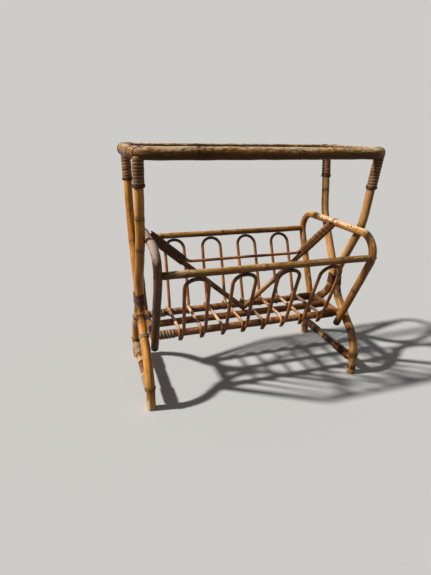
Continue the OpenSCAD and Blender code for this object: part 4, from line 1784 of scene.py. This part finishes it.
@dataclass
class CaneWork:
    """The cane arches along both sides and the hooked bars of the floor.

    facet is how much further than its radius the faceted skin of a CAD cane reaches.
    """

    basket: Basket
    cane_d: float = 7.5 * MM
    hook_angle: float = math.radians(20)
    tip: float = 10 * MM
    tip_share: float = 0.6
    shave: float = 26 * MM
    facet: float = 1.054
    front_slant: float = 14 * MM
    back_slant: float = 6 * MM
    # How much darker each arch is made at its middle
    crown_darkening: float = 0.9
    pitch = 48 * MM

    def __post_init__(self) -> None:
        """Works out the slant of the arches."""
        b = self.basket
        self.r = self.cane_d / 2
        self.hook_x = (self.cane_d + GAP) / 2
        self.wind_r = b.floor_r + GAP + self.r
        top = vec(b.top_rail_y, b.top_rail_h - b.top_rail_d / 2 - GAP - self.facet * self.r)
        reach = top - vec(b.floor_pitch, b.floor_rail_h)
        far = float(np.linalg.norm(reach))
        self.lean = math.atan2(reach[0], reach[1]) - math.asin(self.wind_r / far)
        self.arch_len = math.sqrt(far**2 - self.wind_r**2) + self.tip
        self.arch_tip = top - self.arch_len * vec(math.sin(self.lean), math.cos(self.lean))

    def build(self) -> None:
        """Builds the arches and the floor bars."""
        for row, (label, sy) in enumerate(ROWS.items()):
            for i in range(1, 5):
                self._arch(f"arch_{label}_{i}", i, sy, 80 + 10 * row + i)
        for i in range(1, 9):
            self._bar(f"floor_bar_{i}", i, 100 + i)

    def _cane(self, route: Route, seed: int, crown: float = 0.0) -> Pole:
        """A shaved cane.

        Args:
            route: its middle line.
            seed: shifts its pattern.
            crown: how dark its middle is.

        Returns:
            The cane.
        """
        rng = np.random.default_rng(seed)
        end = route.length
        knuckle = rng.uniform(0.3, 0.7) * end
        worn = Patch(rng.uniform(0, end), 0.05, 0.5)
        return Pole(
            route,
            self.r,
            [knuckle],
            seed,
            sides=16,
            spacing=3 * MM,
            swell=0.15 * MM,
            shave=self.shave,
            tip_share=self.tip_share,
            worn=[worn, *(Patch(tip, 0.02, 0.5) for tip in (0, end))],
            dirt_and_shade_patches=[*(Patch(tip, 0.008, 0.8) for tip in (0, end)), Patch(end / 2, 0.055, crown)],
        )

    def _arch(self, name: str, i: int, sy: int, seed: int) -> None:
        """Builds one arch.

        Args:
            name: its CAD node.
            i: its number, from the left.
            sy: the sign of its side's Y.
            seed: shifts its pattern.
        """
        w, low, high = self.pitch / 2, self.shave, self.arch_len
        lean = self.cane_d * (1 - self.tip_share)
        x = (2 * i - 5) * self.pitch + self.hook_x
        plane = Plane(
            vec(x, sy * self.arch_tip[0], self.arch_tip[1]),
            RIGHT,
            vec(0, sy * math.sin(self.lean), math.cos(self.lean)),
        )
        top = -self.front_slant if sy < 0 else self.back_slant
        outline = (
            (-w - lean, 0), (-w, low), (top - w, high), (top + w, high), (w, low), (w - lean, 0)
        )
        route = Route.through(plane, [vec(*spot) for spot in outline], [0, low, w, w, low, 0])
        self._cane(route, seed, self.crown_darkening).make(name, Finish.CANE)

    def _bar(self, name: str, i: int, seed: int) -> None:
        """Builds one floor bar.

        Args:
            name: its CAD node.
            i: its number, from the left.
            seed: shifts its pattern.
        """
        b, a = self.basket, self.hook_angle
        x = (i - 4.5) * self.pitch - self.hook_x
        start = (
            vec(-b.floor_pitch, b.floor_rail_h)
            - self.wind_r * heading_of(a)
            + self.tip * vec(math.sin(a), -math.cos(a))
        )
        hook = (self.wind_r * (math.pi / 2 + a), -1 / self.wind_r)
        steps = [(self.tip, 0.0), hook, (2 * b.floor_pitch, 0.0), hook, (self.tip, 0.0)]
        route = Route(Plane(x * RIGHT, BACK, UP), start, math.pi / 2 + a, steps)
        self._cane(route, seed).make(name, Finish.BAR)


@dataclass
class Divider:
    """Two struts down to the middle floor rail, and the thin rod between them.

    rise is how far above that rail the struts aim. A strut's skin starts at start_s from the
    hoop's middle and is coped back to the hoop, and wrap_early brings its winding nearer to it.
    """

    basket: Basket
    strut_d: float = 12 * MM
    rise: float = 15 * MM
    rod_d: float = 6.6 * MM
    rod_h: float = 282 * MM
    rod_bend: float = 14 * MM
    rod_end: float = 20 * MM
    rod_bare: float = 2 * MM
    tie_reach: float = 3 * MM
    start_s: float = 20 * MM
    wrap_early: float = 4.4 * MM
    wrap_pitch: float = 6 * MM

    def __post_init__(self) -> None:
        """Works out the struts' slope and where the rod leaves them."""
        b = self.basket
        self.aim_h = b.floor_rail_h + self.rise
        self.slope = math.atan2(b.hoop_top - self.aim_h, b.top_x)
        self.r, self.rod_r = self.strut_d / 2, self.rod_d / 2
        self.offset = self.r + GAP + self.rod_r
        c, s = math.cos(self.slope), math.sin(self.slope)
        self.corner_x = (self.rod_h - self.aim_h) / math.tan(self.slope) - self.offset / s
        self.corner_s = (b.top_x - self.corner_x) * c + (b.hoop_top - self.rod_h) * s
        self.seat = b.facet * b.hoop_r + GAP + b.strand_t + self.tie_reach
        bent = self.rod_bend * math.tan(self.slope / 2)
        self.wrap_len = self.corner_s - bent - self.rod_bare - self.seat

    def strut_route(self, sx: int) -> Route:
        """The middle line of a strut.

        Args:
            sx: the sign of its end's X.

        Returns:
            The route, from the middle of its hoop down to the middle rail.
        """
        b = self.basket
        start = vec(sx * b.top_x, 0, b.hoop_top)
        down = unit(vec(-sx * math.cos(self.slope), 0, -math.sin(self.slope)))
        across = vec(-sx * math.sin(self.slope), 0, math.cos(self.slope))
        length = math.hypot(b.top_x, b.hoop_top - self.aim_h)
        return Route.straight(start, start + down * length, across)

    def build(self) -> None:
        """Builds the struts, the rod, and the wraps and ties that hold them."""
        b = self.basket
        for seed, (label, sx) in enumerate(SIDES.items(), 121):
            route = self.strut_route(sx)
            hoop = PoleCut(vec(sx * b.top_x, 0, b.hoop_top), BACK, b.hoop_r + GAP)
            rail = PoleCut(b.floor_rail_h * UP, RIGHT, b.floor_r + GAP)
            mitre = FlatCut(sx * GAP / 2 * RIGHT, RIGHT)
            ends = [route.at(distance).point for distance in (self.start_s, route.length)]
            Pole(
                Route.straight(*ends, route.plane.up),
                self.r,
                [0.62 * route.length],
                seed,
                cuts=[[hoop], [rail, mitre]],
                worn=[Patch(0.2, 0.06, 0.35)],
                dirt_and_shade_patches=[Patch(self.wrap_len + 0.005, 0.012, 0.8)],
            ).make(f"divider_strut_{label}", Finish.FLOOR_RAIL)
            self._wrap(label, sx, seed)
            self._tie(label, sx, seed)
        self._rod()

    def _rod(self) -> None:
        """Builds the rod."""
        reach = (self.corner_s - self.rod_end) * vec(math.cos(self.slope), math.sin(self.slope))
        ends = [vec(s * self.corner_x, self.rod_h) + reach * vec(s, 1) for s in (-1, 1)]
        bends = [vec(s * self.corner_x, self.rod_h) for s in (-1, 1)]
        plane = Plane(0 * UP, RIGHT, UP)
        Pole(
            Route.through(
                plane, [ends[0], *bends, ends[1]], [0, self.rod_bend, self.rod_bend, 0]
            ),
            self.rod_r,
            [0.16, 0.27],
            125,
            sides=16,
            spacing=3 * MM,
            swell=0.2 * MM,
            worn=[Patch(0.2, 0.1, 0.5)],
        ).make("divider_rod", Finish.CANE)

    def _wrap(self, label: str, sx: int, seed: int) -> None:
        """Builds the winding round a strut and the rod's end.

        Args:
            label: the end of the rack.
            sx: the sign of its X.
            seed: shifts its pattern.
        """
        core = TwinCore(self.r, self.rod_r, lambda distance: (0.0, self.offset))
        length = self.wrap_len + self.wrap_early
        turns = round(length / self.wrap_pitch)
        finish = Finish.DARK_STRAND if sx < 0 else Finish.RED_STRAND
        Winding(
            self.strut_route(sx),
            core,
            self.seat - self.wrap_early,
            turns,
            length / (turns + 1),
            Strand(5.8 * MM, 1.5 * MM),
            seed=seed,
        ).sheet().mesh(f"strut_wrap_{label}_strand", finish, [f"strut_wrap_{label}"])

    def _tie(self, label: str, sx: int, seed: int) -> None:
        """Builds the tie over a hoop at the head of its strut.

        Args:
            label: the end of the rack.
            sx: the sign of its X.
            seed: shifts its pattern.
        """
        b = self.basket
        spot = self.strut_route(sx).at(0)
        back, out = -spot.along, spot.across
        rim = b.hoop_r + 0.35 * MM
        foot = self.r + 0.3 * MM
        low = math.asin(foot / rim)
        seat = self.seat - 0.3 * MM
        tail = np.linspace(-seat, -rim * math.cos(low), 5)[:-1]
        path = [(spot.point + foot * out + t * back, out, BACK) for t in tail]
        for angle in np.linspace(math.pi - low, -(math.pi - low), 33):
            away = math.sin(angle) * out + math.cos(angle) * back
            path.append((spot.point + rim * away, away, BACK))
        path += [(spot.point - foot * out + t * back, -out, BACK) for t in reversed(tail)]
        sheet = strap_sheet(path, Strand(4.8 * MM, 1.2 * MM), seed)
        finish = Finish.DARK_STRAND if sx < 0 else Finish.RED_STRAND
        sheet.mesh(f"hoop_tie_{label}_strand", finish, [f"hoop_tie_{label}"])


@dataclass
class Bindings:
    """Windings on the posts, the waists, the crossings, the stretchers and the floor rails.

    pitch is what one turn of the usual strand takes up along a pole.
    """

    legs: Legs
    stretchers: Stretchers
    basket: Basket
    canes: CaneWork
    post_len: float = 52 * MM
    waist_len: float = 30 * MM
    waist_drop: float = 8 * MM
    cross_len: float = 13 * MM
    cross_turns: float = 3.3
    stretcher_len: float = 62 * MM
    foot_len: float = 7 * MM
    foot_turns: float = 2.1
    pitch: float = 6.2 * MM
    strand: Strand = Strand()

    # How much longer or shorter than the others a post's winding is
    POST_EXTRA = {Corner.FRONT_LEFT: 8 * MM, Corner.FRONT_RIGHT: -7 * MM}

    def build(self) -> None:
        """Builds every winding."""
        for seed, corner in enumerate(Corner, 201):
            self._post(corner, seed)
            self._crossing(corner, seed + 10)
        for seed, (label, sx) in enumerate(SIDES.items(), 221):
            self._waist(label, sx, seed)
            self._stretcher(label, sx, seed + 10)
        for seed, (label, sy) in enumerate(ROWS.items(), 241):
            self._rail(label, sy, seed)

    def _leg_core(self, looseness: float) -> Core:
        """A leg under a winding that lies a little off its skin."""
        return Core(lambda distance: self.legs.radius(distance) + looseness)

    def _full(self, route: Route, core: Core, seed: int) -> Sheet:
        """A winding that fills its route with turns of the usual strand.

        Args:
            route: the middle line of what is wrapped.
            core: its outline.
            seed: shifts its pattern.

        Returns:
            The winding's surface.
        """
        turns = round(route.length / self.pitch)
        pitch = route.length / turns
        return Winding(route, core, 0.0, turns - 1, pitch, self.strand, seed=seed).sheet()

    def _post(self, corner: Corner, seed: int) -> None:
        """Wraps the top of a leg, with a knot ring at the lower end.

        Args:
            corner: the leg's corner.
            seed: shifts its pattern.
        """
        legs, route = self.legs, self.legs.route(corner)
        rise = (legs.radius(legs.length) + GAP + self.strand.thick) * math.tan(legs.lean)
        top = legs.length - rise - 2 * GAP
        low = top - self.post_len + self.POST_EXTRA.get(corner, 0.0)
        start = low + 3 * MM
        turns = round((top - start) / self.pitch) + 1
        pitch = (top - start) / (turns - 1)
        core, strand = self._leg_core(0.15 * MM), Strand(pitch - 0.2 * MM, 1.3 * MM)
        knot = Winding(route, core, low - 1 * MM, 2.3, 2.7 * MM, Strand(3.4 * MM, 2.0 * MM),
                       lift=0.5 * MM, seed=seed + 50, unrest=0.3)
        wrap = Winding(route, core, start, turns, pitch, strand, seed=seed)
        node = f"post_wrap_{corner.label}"
        finishes = [Finish.POST_STRAND, Finish.BROWN_STRAND]
        join([wrap.sheet(), knot.sheet()], f"{node}_strand", finishes, [node])

    def _crossing(self, corner: Corner, seed: int) -> None:
        """Binds a leg where it crosses the hoop.

        Args:
            corner: the leg's corner.
            seed: shifts its pattern.
        """
        start = self.basket.cross_s - self.cross_len / 2
        pitch = self.cross_len / (self.cross_turns + 1)
        binding = Winding(
            self.legs.route(corner), self._leg_core(0.1 * MM), start, self.cross_turns, pitch,
            Strand(2.9 * MM, 1.2 * MM), seed=seed, unrest=0.25,
        )
        finish = Finish.WEATHERED_STRAND if corner is Corner.FRONT_LEFT else Finish.POST_STRAND
        node = f"corner_binding_{corner.label}"
        binding.sheet().mesh(f"{node}_strand", finish, [node])

    def _waist(self, label: str, sx: int, seed: int) -> None:
        """Binds both legs of an end at the waist.

        Args:
            label: the end of the rack.
            sx: the sign of its X.
            seed: shifts its pattern.
        """
        legs = self.legs
        low = self.waist_len / 2 + self.waist_drop
        bottom = vec(sx * legs.x, 0, legs.waist_z - low)
        route = Route.straight(bottom, bottom + self.waist_len * UP, BACK)

        def spread(distance: float) -> tuple[float, float]:
            """Where the legs' middles lie.

            Args:
                distance: the height above the binding's lower end.

            Returns:
                The Y of the front leg and that of the back leg.
            """
            lean = math.asin((distance - low) / legs.waist_bend)
            aside = legs.waist_bend * (1 - math.cos(lean)) + legs.waist_r * (1 / math.cos(lean) - 1)
            return -legs.waist_y - aside, legs.waist_y + aside

        core = TwinCore(legs.waist_r + 0.1 * MM, legs.waist_r + 0.1 * MM, spread)
        if sx < 0:
            turns, thick, unrest, finish = 6, 1.3 * MM, 0.12, Finish.DARK_STRAND
        else:
            turns, thick, unrest, finish = 5.4, 1.4 * MM, 0.35, Finish.BROWN_STRAND
        pitch, strand = self.waist_len / (turns + 1), Strand(4.2 * MM, thick)
        binding = Winding(route, core, 0.0, turns, pitch, strand, seed=seed, unrest=unrest)
        node = f"waist_binding_{label}"
        binding.sheet().mesh(f"{node}_strand", finish, [node])

    def _stretcher(self, label: str, sx: int, seed: int) -> None:
        """Wraps both ends of a stretcher and lashes the feet above it.

        Args:
            label: the end of the rack.
            sx: the sign of its X.
            seed: shifts its pattern.
        """
        legs, rail = self.legs, self.stretchers
        skin = legs.foot_d / 2 * self.basket.facet
        near = legs.foot_y - skin - 2 * GAP - self.stretcher_len
        radius = rail.pole_d / 2
        start = rail.height + radius + self.basket.strand_t + 2 * GAP
        wraps = (
            [Finish.WEATHERED_STRAND] * 2 if sx < 0 else [Finish.BROWN_STRAND, Finish.DARK_STRAND]
        )
        sheets, finishes = [], []
        for sy, wrap in zip((-1, 1), wraps):
            ends = [vec(sx * legs.x, sy * (near + d), rail.height) for d in (0, self.stretcher_len)]
            core = Core(lambda distance: radius + 0.1 * MM)
            lashing = Winding(
                legs.route(Corner((sx, sy))), self._leg_core(0.15 * MM), start, self.foot_turns,
                self.foot_len / (self.foot_turns + 1), Strand(2.2 * MM, 1.3 * MM),
                seed=seed + 7 + sy, unrest=0.2,
            )
            sheets += [self._full(Route.straight(*ends), core, seed + sy), lashing.sheet()]
            finishes += [wrap, Finish.RED_STRAND]
        join(sheets, f"stretcher_wrap_{label}_strand", finishes, [f"stretcher_wrap_{label}"])

    def _rail(self, label: str, sy: int, seed: int) -> None:
        """Wraps both ends of an outer floor rail.

        Args:
            label: the side of the rack.
            sy: the sign of its Y.
            seed: shifts its pattern.
        """
        b, canes = self.basket, self.canes
        start = 3.5 * canes.pitch + canes.hook_x + canes.r + GAP
        end = b.x - b.facet * b.hoop_r - 2 * GAP
        core = Core(lambda distance: b.floor_r + 0.1 * MM)
        sheets = []
        for sx in (-1, 1):
            ends = [vec(sx * x, sy * b.floor_pitch, b.floor_rail_h) for x in (start, end)]
            sheets.append(self._full(Route.straight(*ends), core, seed + sx))
        # The right-hand wraps take the darker brown strand: partly their own colour, partly painted
        # shade from the basket above them
        finishes = [Finish.WEATHERED_STRAND, Finish.BROWN_STRAND]
        join(sheets, f"rail_wrap_{label}_strand", finishes, [f"rail_wrap_{label}"])


@dataclass
class Nails:
    """Small nails through the hoops into the rails and the legs, and along the back of the ring."""

    legs: Legs
    ring: TopRing
    basket: Basket
    head: float = 2.3 * MM
    sunk: float = 0.2 * MM

    # Where the ring's nails lie along X, and the outline of a head in shares of its radius
    RING_PLACES = (-0.1795, -0.058, 0.0755, 0.163, 0.218)
    OUTLINE = ((0.85, -0.3), (1.0, 0.0), (0.96, 0.15), (0.7, 0.3), (0.35, 0.36))

    def build(self) -> None:
        """Builds the nails in the hoops and those in the ring."""
        b, legs = self.basket, self.legs
        leg = legs.route(Corner.BACK_RIGHT)
        leg_y = float(leg.at(leg.distance_at(b.hoop_top, legs.waist_s, legs.length)).point[1])
        hoops = []
        for sx in (-1, 1):
            plane, side = b.hoop_plane(sx), sx * RIGHT
            inward = unit(plane.up - side)
            for sy in (-1, 1):
                arm = b.arm_cut(sx, sy, b.top_rail_h).point
                crest = plane.origin + plane.turned(vec(sy * leg_y, b.hoop_top))
                hoops.append(self._nail(arm + (b.hoop_r - self.sunk) * side, side))
                hoops.append(self._nail(crest + (b.hoop_r - self.sunk) * inward, inward))
        join(hoops, "hoop_nails", Finish.NAIL, [])
        ring = self.ring
        out = unit(vec(0, 0.45, 1))
        crown = vec(0, ring.half_y, ring.z) + (ring.radius - self.sunk) * out
        heads = [self._nail(crown + x * RIGHT, out) for x in self.RING_PLACES]
        join(heads, "ring_nails", Finish.NAIL, [])

    def _nail(self, place: np.ndarray, out: np.ndarray) -> Sheet:
        """A domed nail head.

        Args:
            place: a place on a pole's surface.
            out: the direction out of the pole there.

        Returns:
            The head's surface.
        """
        side = unit(np.cross(out, vec(0.3, 0.9, 0.2)))
        other = np.cross(out, side)
        rims = [math.cos(a) * side + math.sin(a) * other for a in np.arange(12) * math.tau / 12]
        points = np.array(
            [[place + self.head * (r * rim + h * out) for rim in rims] for r, h in self.OUTLINE]
        )
        return Sheet(points, {"grain": points.copy()})


# ---------------------------------------------------------------- Studio


@dataclass
class Studio:
    """Floor, light and camera.

    The sky lights the scene as white, and the eye sees it in the floor's own colour. The floor
    throws back the bounce colour, so that the shades under the canes stay deep.
    """

    floor_half: float = 6.0
    floor_colour: str = "c9c7c3"
    bounce_colour: str = "64615e"
    sky_colour: str = "ceccc8"
    sun_strength: float = 4.45
    sun_angle: float = 0.06
    sun_travel: tuple[float, float, float] = (1.19, -0.16, -1.0)
    sky_strength: float = 0.15
    eye: tuple[float, float, float] = (-0.3395, -0.8219, 0.5463)
    yaw: float = 0.3161
    pitch: float = 0.3669
    roll: float = -0.017
    lens: float = 25.26
    sensor: float = 36.0

    def build(self) -> None:
        """Sets up the floor, the light and the camera."""
        self._floor()
        self._light()
        self._camera()

    def _floor(self) -> None:
        """A plain pale floor."""
        h = self.floor_half
        data = bpy.data.meshes.new("floor")
        data.from_pydata([(-h, -h, 0), (h, -h, 0), (h, h, 0), (-h, h, 0)], [], [(0, 1, 2, 3)])
        g = Graph(bpy.data.materials.new("pale_floor"))
        colour = g.mix(tint(self.bounce_colour), tint(self.floor_colour), g.seen())
        sockets = {"Base Color": colour, "Roughness": 0.9, "Specular IOR Level": 0.0}
        for name, given in sockets.items():
            g.feed(g.shader.inputs[name], given)
        data.materials.append(g.owner)
        floor = bpy.data.objects.new("floor", data)
        bpy.context.scene.collection.objects.link(floor)

    def _light(self) -> None:
        """A soft key from the upper left and an even sky."""
        lamp = bpy.data.lights.new("key", "SUN")
        lamp.energy = self.sun_strength
        lamp.angle = self.sun_angle
        key = bpy.data.objects.new("key", lamp)
        key.rotation_euler = Vector(self.sun_travel).to_track_quat("-Z", "Y").to_euler()
        bpy.context.scene.collection.objects.link(key)
        g = Graph(bpy.data.worlds.new("sky"))
        g.tree.nodes.remove(g.tree.nodes["Background"])
        light, view = (
            g.add("ShaderNodeBackground", {}, {"Color": tint(code), "Strength": strength})
            for code, strength in (("ffffff", self.sky_strength), (self.sky_colour, 1.0))
        )
        mix = g.add("ShaderNodeMixShader", {}, {0: g.seen(), 1: light, 2: view})
        g.feed(g.tree.nodes["World Output"].inputs["Surface"], mix)
        bpy.context.scene.world = g.owner

    def _camera(self) -> None:
        """The camera, turned by yaw, pitch and roll from looking along Y."""
        data = bpy.data.cameras.new("camera")
        data.sensor_fit = "AUTO"
        data.sensor_width = self.sensor
        data.lens = self.lens
        data.dof.use_dof = False
        camera = bpy.data.objects.new("camera", data)
        ahead = math.cos(self.pitch)
        forward = Vector(
            (math.sin(self.yaw) * ahead, math.cos(self.yaw) * ahead, -math.sin(self.pitch))
        )
        level = Vector((math.cos(self.yaw), -math.sin(self.yaw), 0))
        down = forward.cross(level)
        right = level * math.cos(self.roll) + down * math.sin(self.roll)
        up = right.cross(forward)
        turn = Matrix((right, up, -forward)).transposed().to_4x4()
        camera.matrix_world = Matrix.Translation(self.eye) @ turn
        bpy.context.scene.collection.objects.link(camera)
        bpy.context.scene.camera = camera


def main() -> None:
    logging.basicConfig(level=logging.INFO, format="%(message)s")
    scene = bpy.context.scene
    scene.view_settings.view_transform = "Standard"
    Studio().build()
    legs = Legs()
    stretchers = Stretchers(legs)
    basket = Basket(legs)
    canes = CaneWork(basket)
    ring = TopRing(legs)
    bindings = Bindings(legs, stretchers, basket, canes)
    nails = Nails(legs, ring, basket)
    for part in (legs, ring, stretchers, basket, canes, Divider(basket), bindings, nails):
        part.build()


if __name__ == "__main__":
    main()
